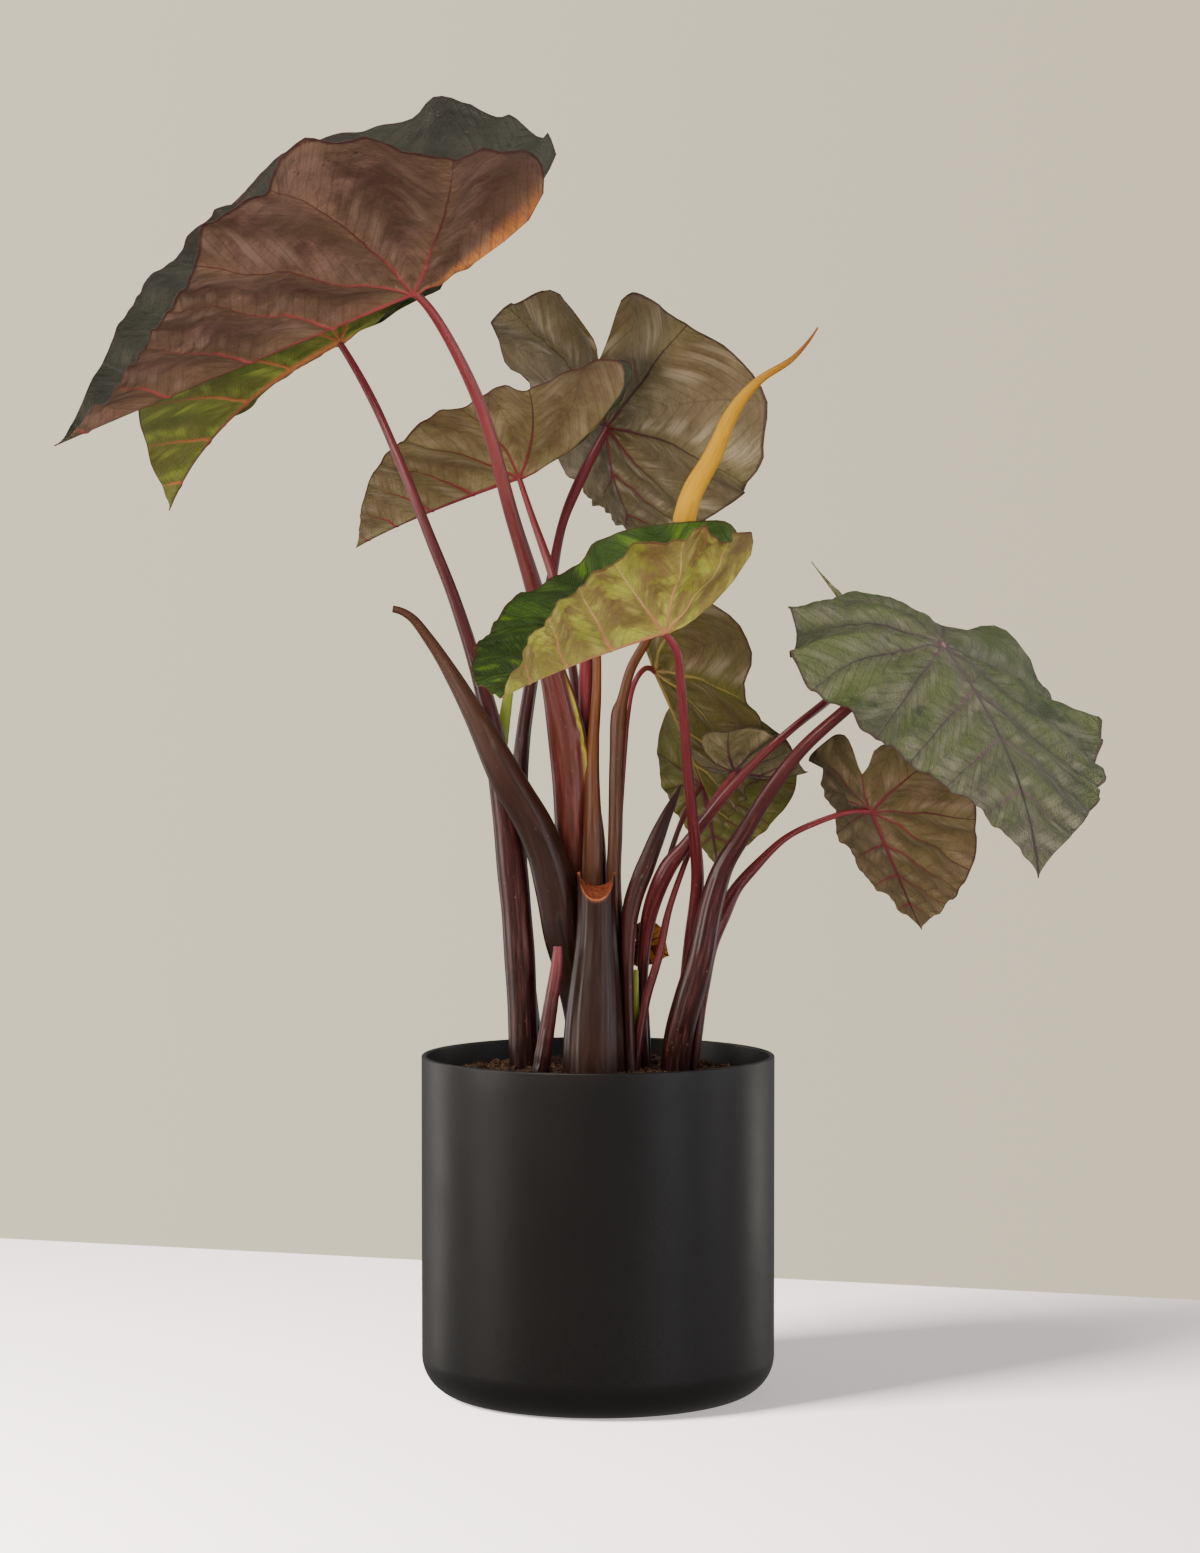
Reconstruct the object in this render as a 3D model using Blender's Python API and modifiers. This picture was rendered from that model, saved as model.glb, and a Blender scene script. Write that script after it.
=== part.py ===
"""Potted elephant ear: a black pot of soil with a clump of stalks and heart-shaped leaves.

Metres, +Z up.  The origin is the centre of the pot's flat base.  The leaves' tips lean to
the front (-Y) or the back (+Y) of the clump; the tall group stands to the left (-X).
Every stalk's route is given from the middle of the soil's level top, so the whole plant
rises and falls with the pot.
"""
from dataclasses import dataclass
from math import acos, cos, pi, radians, sin, tan

import bmesh
import bpy
import numpy as np
from mathutils import Matrix, Vector

MM = 0.001
FOOT_STEP = 0.0005

# Pot
POT_RADIUS = 0.125
POT_HEIGHT = 0.240
POT_WALL = 0.0035
POT_FLOOR = 0.006
POT_FOOT_ROUND = 0.028
POT_LIP_ROUND = 0.0012
POT_STEPS = 56

# Soil
SOIL_TOP_BELOW_RIM = 0.0118
SOIL_EDGE_DROP = 0.008
SOIL_EDGE_WIDTH = 0.036
SOIL_STEPS = 48

# Plant
CLEARANCE = 0.0003
BLADE_THICKNESS = 0.0014
BLADE_RIM_STEPS = 32
BLADE_RINGS = 5
STALK_ROUNDNESS = 2
STUB_ROUNDNESS = 5
SPATHE_ROUNDNESS = 3
STALK_POINTS = 15
STRAP_THICKNESS = 0.0016

# Cut stub: how far its top stands over the soil, and the round cut across it
STUB_HEIGHT = 0.142
STUB_CUT_DEPTH = 0.018
STUB_CUT_RADIUS = 0.0115
STUB_CUT_SLOPE = 17.0

SOIL_TOP = POT_HEIGHT - SOIL_TOP_BELOW_RIM


@dataclass(frozen=True)
class Stalk:
    """A round stem: route points as (x, y, height over the soil, radius) in mm."""
    name: str
    route: tuple
    colour: tuple
    points: int = STALK_POINTS
    roundness: int = STALK_ROUNDNESS


@dataclass(frozen=True)
class Leaf:
    """A heart-shaped blade on its stalk.  Lengths in mm, angles in degrees.

    heading and pitch aim the tip; roll leans the blade towards its left half.
    length runs from the stalk to the tip, lobe from the stalk to the back of the lobes.
    left and right are the widths of the two halves, fold how far each rises from the
    midrib, curl how much it goes on bending on its way out.  droop bends the tip down,
    lift bends the lobes up, twist turns the blade about its midrib and sweep curves the
    midrib sideways.  fold_tip and fold_lobe are (left, right) changes of the fold.
    """
    name: str
    stalk: Stalk
    heading: float
    pitch: float
    roll: float
    length: float
    lobe: float
    left: float
    right: float
    notch: float
    fold: tuple
    curl: tuple = (0, 0)
    droop: float = 0
    lift: float = 0
    fold_tip: tuple = (0, 0)
    fold_lobe: tuple = (0, 0)
    twist: float = 0
    sweep: float = 0
    colour: tuple = (0.16, 0.13, 0.08)
    rim_steps: int = BLADE_RIM_STEPS
    rings: int = BLADE_RINGS


WINE = (0.13, 0.035, 0.040)
DARK_WINE = (0.055, 0.022, 0.020)
BARK_BROWN = (0.13, 0.060, 0.035)
YELLOW = (0.72, 0.46, 0.07)
LEAF_BROWN = (0.20, 0.14, 0.09)
LEAF_OLIVE = (0.20, 0.19, 0.08)
LEAF_LIME = (0.36, 0.38, 0.13)
LEAF_GREEN = (0.13, 0.19, 0.09)
FRESH_GREEN = (0.22, 0.34, 0.06)

LEAVES = (
    Leaf("leaf_upper_left", Stalk("stalk_upper_left", (
        (-12, 34, 0, 7.5), (-14, 31, 60, 8), (-16, 27, 119, 10.5), (-18, 21, 167, 12.5),
        (-21, 19, 222, 13), (-27, 18, 259, 12.5), (-36, 16, 298, 9), (-43, 13, 333, 8),
        (-60, 7, 390, 6.5), (-84, -6, 473, 5), (-116, -24, 534, 3.5), (-129, -30, 547, 3)),
        WINE, 20),
        heading=160, pitch=-20, roll=2, length=278, lobe=137, left=170, right=182,
        notch=40, fold=(25, 60), curl=(0, -20), droop=6, lift=20, fold_tip=(0, 10),
        fold_lobe=(-3, 0), twist=-12, sweep=28, colour=LEAF_BROWN, rim_steps=36, rings=6),
    Leaf("leaf_far_left", Stalk("stalk_far_left", (
        (-53, 15, 0, 10), (-56, 17, 76, 10.5), (-61, 20, 138, 10.5), (-71, 22, 218, 8.5),
        (-80, 24, 262, 7), (-102, 30, 333, 4.5), (-119, 34, 376, 4.5), (-140, 44, 428, 3.5),
        (-163, 60, 479, 3), (-187, 75, 520, 2.5)), WINE, 18),
        heading=185, pitch=-28, roll=-30, length=184, lobe=93, left=136, right=103,
        notch=29, fold=(76, 32), droop=49, fold_tip=(7, -7), sweep=7, colour=LEAF_OLIVE),
    Leaf("leaf_middle_left", Stalk("stalk_middle_left", (
        (4, 44, 0, 3), (-1, 43, 118, 3), (-7, 44, 190, 3), (-13, 50, 249, 3),
        (-22, 66, 305, 3.5), (-31, 84, 345, 3.5), (-50, 110, 400, 2.5), (-58, 120, 424, 2)),
        WINE),
        heading=160, pitch=-17, roll=0, length=180, lobe=123, left=76, right=90, notch=30,
        fold=(58, 42), curl=(-20, 0), lift=39, fold_lobe=(-15, 0), sweep=-41,
        colour=LEAF_OLIVE),
    Leaf("leaf_back", Stalk("stalk_back", (
        (-43, 40, 0, 5.5), (-56, 56, 117, 6), (-57, 76, 207, 6), (-50, 102, 268, 5),
        (-36, 138, 342, 4), (-27, 160, 390, 3.5), (-17, 174, 417, 4), (7, 200, 465, 3)),
        WINE),
        heading=80, pitch=-70, roll=-57, length=120, lobe=104, left=149, right=160,
        notch=50, fold=(-3, 19), droop=-48, lift=-10, fold_lobe=(-29, 10), sweep=-3,
        colour=LEAF_OLIVE, rings=6),
    Leaf("leaf_front", Stalk("stalk_front", (
        (56, 13, 0, 5), (62, 4, 57, 5.5), (66, -3, 96, 5.5), (70, -14, 136, 5.5),
        (66, -40, 179, 5), (62, -62, 215, 4), (59, -84, 250, 4), (56, -104, 278, 3.5),
        (53, -122, 298, 3), (44, -131, 310, 2.5)), WINE, 18),
        heading=212, pitch=-14, roll=15, length=194, lobe=101, left=94, right=101,
        notch=30, fold=(66, 8), curl=(-13, 10), droop=-13, lift=55, fold_tip=(7, -3),
        fold_lobe=(-3, 16), twist=15, sweep=43, colour=LEAF_LIME),
    Leaf("leaf_hanging", Stalk("stalk_hanging", (
        (15, 26, 0, 2), (13, 22, 84, 2), (15, 16, 168, 2), (19, 14, 230, 2),
        (21, 16, 252, 2), (24, 22, 269, 2), (29, 31, 280, 2), (35, 42, 285, 2),
        (41, 52, 282, 2)), WINE, 22),
        heading=41, pitch=-59, roll=-30, length=143, lobe=66, left=55, right=104,
        notch=23, fold=(58, 23), fold_lobe=(0, 23), sweep=12,
        colour=LEAF_OLIVE, rim_steps=28),
    Leaf("leaf_low_back", Stalk("stalk_low_back", (
        (28, 26, 0, 2), (34, 36, 83, 2), (42, 42, 117, 2), (52, 54, 151, 2),
        (63, 86, 178, 2), (77, 140, 197, 2)), WINE),
        heading=60, pitch=-62, roll=10, length=70, lobe=66, left=34, right=72, notch=21,
        fold=(10, 10), droop=14, lift=12, sweep=2,
        colour=LEAF_OLIVE, rim_steps=28),
    Leaf("leaf_low_small", Stalk("stalk_low_small", (
        (26, -8, 0, 3.5), (34, -7, 51, 3), (43, -5, 82, 3), (50, -3, 114, 2.5),
        (62, -3, 149, 2), (72, -3, 174, 2), (82, 1, 192, 2), (97, 4, 212, 1.5)), WINE),
        heading=26, pitch=-13, roll=16, length=62, lobe=39, left=23, right=47, notch=15,
        fold=(8, 21), droop=-29, lift=35, colour=LEAF_BROWN, rim_steps=24, rings=4),
    Leaf("leaf_low_right", Stalk("stalk_low_right", (
        (67, 2, 0, 4), (75, 4, 60, 4), (80, 5, 89, 5), (88, 8, 110, 5.5),
        (97, 12, 127, 5), (112, 18, 144, 4.5), (134, 26, 164, 3), (157, 32, 175, 3),
        (181, 38, 182, 2.5), (196, 40, 182, 2)), WINE),
        heading=62, pitch=-45, roll=-18, length=138, lobe=59, left=60, right=77, notch=35,
        fold=(10, 17), curl=(10, 10), droop=-6, lift=30, fold_tip=(-27, -17),
        fold_lobe=(-18, 2), sweep=6, colour=LEAF_BROWN),
    Leaf("leaf_right", Stalk("stalk_right", (
        (54, -12, 0, 10), (57, -14, 28, 10), (63, -17, 52, 10), (71, -20, 79, 9.5),
        (79, -23, 119, 9), (88, -26, 147, 7.5), (103, -30, 172, 7), (120, -35, 200, 6.5),
        (141, -40, 228, 5.5),
        (168, -42, 253, 5), (203, -44, 281, 4), (239, -60, 301, 3.5)), WINE, 18),
        heading=-55, pitch=-41, roll=31, length=209, lobe=119, left=130, right=118,
        notch=40, fold=(14, -33), curl=(-10, -20), droop=25, lift=-60, fold_tip=(19, -2),
        sweep=-8, colour=LEAF_GREEN, rim_steps=36, rings=6),
    Leaf("leaf_young", Stalk("stalk_young", (
        (33, 10, 0, 4), (32, 6, 77, 4), (37, 0, 114, 5.5), (49, -10, 145, 6),
        (60, -15, 159, 5), (72, -20, 175, 4), (89, -28, 197, 4), (112, -32, 222, 3.5),
        (136, -22, 243, 3), (162, 5, 262, 3), (184, 44, 280, 2.5), (204, 75, 294, 2)),
        WINE, 18),
        heading=178, pitch=54, roll=0, length=84, lobe=28, left=16, right=16, notch=9,
        fold=(55, 55), curl=(20, 20), fold_tip=(-45, -45), fold_lobe=(-30, -30),
        colour=FRESH_GREEN, rim_steps=24, rings=4),
    Leaf("leaf_seedling", Stalk("stalk_seedling", (
        (36, 20, 0, 2), (34, 19, 47, 2), (31, 21, 76, 1.8), (33, 26, 88, 1.5)), WINE, 10),
        heading=-4, pitch=-24, roll=76, length=20, lobe=13, left=19, right=18, notch=6,
        fold=(6, 6), droop=6, colour=BARK_BROWN, rim_steps=24, rings=3),
)

PLAIN_STALKS = (
    Stalk("spathe_stalk", (
        (21, 0, 0, 4), (15, 4, 92, 4), (11, 3, 135, 5), (12, 1, 168, 5), (13, 2, 222, 5),
        (15, 3, 254, 5.5), (17, 3, 262, 4), (23, 3, 284, 3.5), (36, -4, 309, 3.5),
        (50, -12, 351, 5), (60, -14, 386, 7)), BARK_BROWN, 18),
    Stalk("centre_stalk", (
        (9, 9, 0, 5.5), (1, 6, 78, 6.5), (-4, 5, 128, 7), (-4, 4, 168, 6.5),
        (-4, 14, 222, 4.5), (-1, 20, 269, 3.5), (-1, 22, 301, 3)), BARK_BROWN),
    Stalk("inner_red_stalk", (
        (4, 28, 0, 2.5), (4, 18, 134, 2.5), (2, 18, 168, 2.5), (-4, 26, 205, 2.5),
        (-9, 31, 233, 3.5), (-9, 32, 262, 5), (-8, 33, 301, 4.5)), WINE),
    Stalk("trimmed_stalk", (
        (-9, 12, 0, 10), (-16, 11, 60, 12.5), (-25, 3, 96, 13.5), (-31, 0, 132, 14),
        (-43, -3, 169, 12.5), (-66, -6, 210, 11.5), (-87, -4, 252, 8), (-104, 0, 282, 5.5),
        (-119, 2, 305, 4), (-133, 2, 322, 3), (-145, 2, 327, 2.5)), DARK_WINE, 18),
    Stalk("small_shoot", (
        (-41, -30, 0, 6), (-34, -32, 45, 5), (-29, -33, 78, 4), (-28, -33, 91, 3)),
        WINE, 8),
    Stalk("dry_sheath", (
        (23, -15, 0, 3.7), (21, -11, 61, 3.7), (21, -8, 97, 5), (24, -5, 120, 6),
        (35, -3, 150, 6), (47, 0, 179, 4), (55, 2, 195, 2), (59, 3, 203, 0.6)),
        DARK_WINE, 14),
)

STUB_ROUTE = ((-3, -22, 0, 22.5), (-3, -21, 26, 21.5), (-2, -19, 62, 18), (-1, -17, 98, 14.5),
              (-1, -16, 124, 13.2))
SPATHE_ROUTE = ((60, -14, 386, 9), (66, -14, 409, 9), (80, -14, 434, 8), (92, -14, 461, 6.5),
                (102, -14, 476, 4.5), (114, -14, 488, 3), (137, -14, 503, 1.8),
                (154, -14, 524, 0.6))
STRAPS = (
    ("sheath_strip_left", ((-72, 36, 211, 3), (-70, 38, 230, 5), (-66, 40, 255, 4),
                           (-62, 44, 285, 3))),
    ("sheath_strip_right", ((28, 1, 3, 1.6), (27, -2, 40, 2.2), (27, -1, 72, 1.6))),
)


def smooth_route(points, count):
    """Return count points along a smooth curve through points (any number of columns)."""
    p = np.asarray(points, float)
    chord = np.sqrt(np.linalg.norm(np.diff(p[:, :3], axis=0), axis=1))
    t = np.concatenate([[0.0], np.cumsum(chord)])
    step = np.diff(t)[:, None]
    slope = np.diff(p, axis=0) / step
    tangent = np.empty_like(p)
    tangent[1:-1] = (slope[1:] * step[:-1] + slope[:-1] * step[1:]) / (step[1:] + step[:-1])
    tangent[0] = 2 * slope[0] - tangent[1]
    tangent[-1] = 2 * slope[-1] - tangent[-2]
    x = np.linspace(0.0, t[-1], count)
    i = np.clip(np.searchsorted(t, x, side="right") - 1, 0, len(p) - 2)
    h = step[i]
    s = (x - t[i])[:, None] / h
    return ((2 * s**3 - 3 * s**2 + 1) * p[i] + (s**3 - 2 * s**2 + s) * h * tangent[i]
            + (3 * s**2 - 2 * s**3) * p[i + 1] + (s**3 - s**2) * h * tangent[i + 1])


def half_outline(length, lobe, width, notch, count):
    """Flat outline of one half of a heart-shaped blade, from the tip back to the notch."""
    return smooth_route((
        (length, 0, 0), (0.93 * length, 0.06 * width, 0), (0.80 * length, 0.25 * width, 0),
        (0.60 * length, 0.55 * width, 0), (0.36 * length, 0.82 * width, 0),
        (0.12 * length, 0.97 * width, 0), (-0.15 * lobe, width, 0),
        (-0.45 * lobe, 0.91 * width, 0), (-0.74 * lobe, 0.70 * width, 0),
        (-0.94 * lobe, 0.43 * width, 0), (-lobe, 0.26 * width, 0),
        (-0.93 * lobe, 0.14 * width, 0), (-0.70 * lobe, 0.068 * width, 0),
        (-(0.21 * lobe + 0.70 * notch), 0.023 * width, 0), (-notch, 0, 0)), count)[:, :2]


def leaf_axes(leaf):
    """Unit vectors along the tip, towards the left half and out of the upper face."""
    heading, pitch, roll = radians(leaf.heading), radians(leaf.pitch), radians(leaf.roll)
    tip = np.array([cos(pitch) * cos(heading), cos(pitch) * sin(heading), sin(pitch)])
    flat_up = np.array([0.0, 0.0, 1.0]) - tip * tip[2]
    flat_up /= np.linalg.norm(flat_up)
    flat_left = np.cross(flat_up, tip)
    up = flat_up * cos(roll) + flat_left * sin(roll)
    return tip, np.cross(up, tip), up


def bend_blade(leaf, x, y, left):
    """Bend the flat blade's points (x along the midrib, y across) about its stalk."""
    along = np.linspace(-1.4 * leaf.lobe, 1.02 * leaf.length, 241)
    front = np.clip(along, 0, None) / leaf.length
    rear = np.clip(-along, 0, None) / leaf.lobe
    slope = -radians(leaf.droop) * front ** 1.3 - radians(leaf.lift) * rear
    turn = radians(leaf.sweep) * front
    step = along[1] - along[0]

    def run(rate):
        total = np.concatenate([[0.0], np.cumsum((rate[1:] + rate[:-1]) / 2) * step])
        return total - np.interp(0, along, total)

    midrib = np.stack([np.interp(x, along, run(f)) for f in
                       (np.cos(slope) * np.cos(turn), np.cos(slope) * np.sin(turn),
                        np.sin(slope))], -1)
    slope_x, turn_x = np.interp(x, along, slope), np.interp(x, along, turn)
    ahead = np.stack([np.cos(slope_x) * np.cos(turn_x), np.cos(slope_x) * np.sin(turn_x),
                      np.sin(slope_x)], -1)
    across = np.stack([-np.sin(turn_x), np.cos(turn_x), 0 * turn_x], -1)
    out = np.cross(ahead, across)
    twist = (radians(leaf.twist) * x / leaf.length)[..., None]
    across, out = (across * np.cos(twist) + out * np.sin(twist),
                   out * np.cos(twist) - across * np.sin(twist))
    tipward, lobeward = np.clip(x / leaf.length, 0, 1), np.clip(-x / leaf.lobe, 0, 1)
    fold = np.radians(np.where(
        left, leaf.fold[0] + leaf.fold_tip[0] * tipward + leaf.fold_lobe[0] * lobeward,
        leaf.fold[1] + leaf.fold_tip[1] * tipward + leaf.fold_lobe[1] * lobeward))
    rate = np.radians(np.where(left, leaf.curl[0] / leaf.left, leaf.curl[1] / leaf.right))
    half_turn = rate * np.abs(y) / 2
    chord = np.abs(y) * np.sinc(half_turn / pi)
    side = np.where(left, 1.0, -1.0)
    return (midrib + (side * chord * np.cos(fold + half_turn))[..., None] * across
            + (chord * np.sin(fold + half_turn))[..., None] * out)


def blade_points(leaf, around, outward):
    """World points of the blade: around runs tip, left half, notch, right half, tip."""
    dense = 161
    halves = [half_outline(leaf.length, leaf.lobe, width, leaf.notch, dense)
              for width in (leaf.left, leaf.right)]
    knots = np.linspace(0, 1, dense)
    left = around <= 0.5
    along_half = np.where(left, 2 * around, 2 - 2 * around)
    x = np.where(left, np.interp(along_half, knots, halves[0][:, 0]),
                 np.interp(along_half, knots, halves[1][:, 0])) * outward
    y = np.where(left, np.interp(along_half, knots, halves[0][:, 1]),
                 -np.interp(along_half, knots, halves[1][:, 1])) * outward
    local = bend_blade(leaf, x, y, left)
    joint = np.array(leaf.stalk.route[-1][:3], float)
    return (joint + local @ np.stack(leaf_axes(leaf))) * MM + np.array([0, 0, SOIL_TOP])


def world_route(route, lift=0.0):
    """A route's points in world metres, with the radius as the fourth column."""
    points = np.array(route, float) * MM
    points[:, 2] += SOIL_TOP + lift
    return points


def material(name, colour, roughness=0.5):
    """Make a Principled material."""
    made = bpy.data.materials.new(name)
    made.use_nodes = True
    shader = made.node_tree.nodes["Principled BSDF"]
    shader.inputs["Base Color"].default_value = (*colour, 1.0)
    shader.inputs["Roughness"].default_value = roughness
    shader.inputs["Metallic"].default_value = 0.0
    made.diffuse_color = (*colour, 1.0)
    return made


def add_object(name, data, collection, parent=None):
    """Put mesh or curve data into the collection as a named object."""
    made = bpy.data.objects.new(name, data)
    collection.objects.link(made)
    made.parent = parent
    return made


def turned(name, profile, steps, collection, parent, finish):
    """Revolve a profile of (radius, z) points, given down the outer side, about Z."""
    mesh = bpy.data.meshes.new(name)
    mesh.from_pydata([(radius, 0, z) for radius, z in profile],
                     [(i, i + 1) for i in range(len(profile) - 1)], [])
    made = add_object(name, mesh, collection, parent)
    screw = made.modifiers.new("Turn", "SCREW")
    screw.steps = screw.render_steps = steps
    screw.use_merge_vertices = True
    screw.merge_threshold = 0.00001
    screw.use_smooth_shade = True
    mesh.materials.append(finish)
    return made


def arc(centre, radius, start, end, steps):
    """Points of an arc in the (radius, z) plane, angles in degrees."""
    return [(centre[0] + radius * cos(radians(a)), centre[1] + radius * sin(radians(a)))
            for a in np.linspace(start, end, steps)]


def build_pot(collection, parent):
    """Turn the pot: straight wall, rounded lip and rounded foot, one closed skin."""
    inner = POT_RADIUS - POT_WALL
    lip = min(POT_LIP_ROUND, POT_WALL / 2.2)
    inner_round = POT_FOOT_ROUND - POT_WALL
    profile = [(0, POT_FLOOR)]
    profile += arc((inner - inner_round, POT_FLOOR + inner_round), inner_round, -90, 0, 5)
    profile += arc((inner + lip, POT_HEIGHT - lip), lip, 180, 90, 3)
    profile += arc((POT_RADIUS - lip, POT_HEIGHT - lip), lip, 90, 0, 3)
    profile += arc((POT_RADIUS - POT_FOOT_ROUND, POT_FOOT_ROUND), POT_FOOT_ROUND, 0, -90, 7)
    profile += [(0, 0)]
    return turned("pot", profile, POT_STEPS, collection, parent,
                  material("pot", (0.018, 0.018, 0.019), 0.42))


def build_soil(collection, parent):
    """Turn the soil: it fills the pot to just under the rim, level in the middle."""
    inner = POT_RADIUS - POT_WALL - CLEARANCE
    floor = POT_FLOOR + CLEARANCE
    foot_round = POT_FOOT_ROUND - POT_WALL
    level = inner - SOIL_EDGE_WIDTH
    profile = [(0, SOIL_TOP), (level, SOIL_TOP),
               ((level + inner) / 2, SOIL_TOP - 0.3 * SOIL_EDGE_DROP),
               (inner, SOIL_TOP - SOIL_EDGE_DROP)]
    profile += arc((inner - foot_round, floor + foot_round), foot_round, 0, -90, 5)
    profile += [(0, floor)]
    return turned("soil", profile, SOIL_STEPS, collection, parent,
                  material("soil", (0.055, 0.035, 0.022), 0.95))


def tube(name, points, roundness, collection, parent, finish):
    """A round stem as a poly curve with a radius at each point and filled ends."""
    curve = bpy.data.curves.new(name, "CURVE")
    curve.dimensions = "3D"
    curve.bevel_depth = 1.0
    curve.bevel_resolution = roundness
    curve.use_fill_caps = True
    spline = curve.splines.new("POLY")
    spline.points.add(len(points) - 1)
    for spot, (x, y, z, radius) in zip(spline.points, points):
        spot.co = (x, y, z, 1.0)
        spot.radius = radius
        spot.tilt = 0.0
    curve.twist_mode = "MINIMUM"
    curve.materials.append(finish)
    return add_object(name, curve, collection, parent)


def stalk_points(stalk, blade_up=None, hang=0.0):
    """Centre line of a stalk that stands level on the soil.

    With blade_up, the upward direction of its blade, the stalk stops where the edge of
    its flat end is one clearance short of the blade's underside.  hang is how far, in
    degrees, a half of the blade droops past the stalk's end.
    """
    route = world_route(stalk.route, CLEARANCE)
    if blade_up is not None:
        arrival = route[-1, :3] - route[-2, :3]
        arrival /= np.linalg.norm(arrival)
        slant = acos(min(1.0, abs(arrival @ blade_up))) + radians(hang)
        gap = BLADE_THICKNESS / 2 + CLEARANCE + route[-1, 3] * sin(min(slant, pi / 2))
        route[-1, :3] -= blade_up * gap
    line = smooth_route(route, stalk.points)
    foot = line[0].copy()
    foot[2] = SOIL_TOP + CLEARANCE
    line[0, :3] = foot[:3] + np.array([0, 0, FOOT_STEP])
    return np.vstack([foot, line])


def build_blade(leaf, collection, parent):
    """Bend a grid into the heart-shaped blade and thicken it."""
    sheet = bmesh.new()
    bmesh.ops.create_grid(sheet, x_segments=leaf.rim_steps, y_segments=leaf.rings, size=0.5)
    verts = list(sheet.verts)
    flat = np.array([v.co[:2] for v in verts]) + 0.5
    for vert, spot in zip(verts, blade_points(leaf, flat[:, 0], flat[:, 1])):
        vert.co = spot
    bmesh.ops.remove_doubles(sheet, verts=sheet.verts, dist=0.00002)
    bmesh.ops.recalc_face_normals(sheet, faces=sheet.faces)
    mesh = bpy.data.meshes.new(leaf.name)
    sheet.to_mesh(mesh)
    sheet.free()
    mesh.shade_smooth()
    mesh.materials.append(material(leaf.name, leaf.colour, 0.45))
    made = add_object(leaf.name, mesh, collection, parent)
    skin = made.modifiers.new("Thickness", "SOLIDIFY")
    skin.thickness = BLADE_THICKNESS
    skin.offset = 0.0
    return made


def build_leaf(leaf, collection, parent):
    """Make a leaf's stalk and, over its end, the blade."""
    stalk = leaf.stalk
    line = stalk_points(stalk, leaf_axes(leaf)[2], max(0, -min(leaf.fold)))
    tube(stalk.name, line, stalk.roundness, collection, parent,
         material(stalk.name, stalk.colour, 0.4))
    build_blade(leaf, collection, parent)


def as_mesh(source, name, collection, parent):
    """Replace a curve object by its welded mesh."""
    depsgraph = bpy.context.evaluated_depsgraph_get()
    mesh = bpy.data.meshes.new_from_object(source.evaluated_get(depsgraph))
    mesh.name = name
    weld = bmesh.new()
    weld.from_mesh(mesh)
    bmesh.ops.remove_doubles(weld, verts=weld.verts, dist=0.00001)
    weld.to_mesh(mesh)
    weld.free()
    place = source.matrix_world.copy()
    bpy.data.objects.remove(source, do_unlink=True)
    made = add_object(name, mesh, collection, parent)
    made.matrix_world = place
    return made


def build_stub(collection, cutters, parent):
    """The thick cut stem in front, its top hollowed by a sloping round cut."""
    finish = material("cut_stub", DARK_WINE, 0.35)
    line = smooth_route(world_route(STUB_ROUTE, CLEARANCE), 10)
    top = line[-1].copy()
    top[2] = SOIL_TOP + CLEARANCE + STUB_HEIGHT
    line = np.vstack([line[0], line, top])
    line[1, 2] += FOOT_STEP
    draft = tube("stub_draft", line, STUB_ROUNDNESS, collection, parent, finish)
    bpy.context.view_layer.update()
    stub = as_mesh(draft, "cut_stub", collection, parent)
    stub.data.shade_smooth()
    stub.data.set_sharp_from_angle(angle=radians(40))
    middle = Vector((top[0], top[1], top[2] - STUB_CUT_DEPTH + STUB_CUT_RADIUS))
    # The cut is measured at the stub's front, and climbs towards the back.
    middle.z += top[3] * tan(radians(STUB_CUT_SLOPE))
    length = 6 * top[3]
    bpy.ops.mesh.primitive_cylinder_add(vertices=40, radius=STUB_CUT_RADIUS, depth=length)
    cutter = bpy.context.object
    cutter.name = "stub_cutter"
    for owner in list(cutter.users_collection):
        owner.objects.unlink(cutter)
    cutters.objects.link(cutter)
    rise = Matrix.Rotation(radians(90 + STUB_CUT_SLOPE), 4, "X")
    cutter.matrix_world = Matrix.Translation(middle) @ rise
    cutter.hide_render = True
    cutter.display_type = "WIRE"
    bite = stub.modifiers.new("Round cut", "BOOLEAN")
    bite.operation = "DIFFERENCE"
    bite.object = cutter
    return stub


def build_spathe(collection, parent):
    """The rolled yellow flower hood, standing on the end of its stalk."""
    route = world_route(SPATHE_ROUTE)
    stalk_end = world_route(PLAIN_STALKS[0].route, CLEARANCE)[-2:, :3]
    heading = stalk_end[1] - stalk_end[0]
    heading /= np.linalg.norm(heading)
    seat = stalk_end[1] + heading * 2 * CLEARANCE
    route[:, :3] += seat - route[0, :3]
    line = smooth_route(route, 16)
    start = line[0].copy()
    line[0, :3] = start[:3] + heading * MM
    return tube("spathe", np.vstack([start, line]), SPATHE_ROUNDNESS, collection, parent,
                material("spathe", YELLOW, 0.45))


def build_strap(name, route, collection, parent):
    """A thin green strip of old sheath, widest in the middle."""
    line = smooth_route(world_route(route, CLEARANCE), 7)
    strip = bmesh.new()
    bmesh.ops.create_grid(strip, x_segments=2, y_segments=6, size=0.5)
    for vert in strip.verts:
        spot = line[int(round((vert.co.y + 0.5) * 6))]
        vert.co = Vector(spot[:3]) + Vector((2 * vert.co.x * spot[3], 0, 0))
    mesh = bpy.data.meshes.new(name)
    strip.to_mesh(mesh)
    strip.free()
    mesh.materials.append(material(name, FRESH_GREEN, 0.5))
    made = add_object(name, mesh, collection, parent)
    skin = made.modifiers.new("Thickness", "SOLIDIFY")
    skin.thickness = STRAP_THICKNESS
    skin.offset = 0.0
    return made


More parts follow.
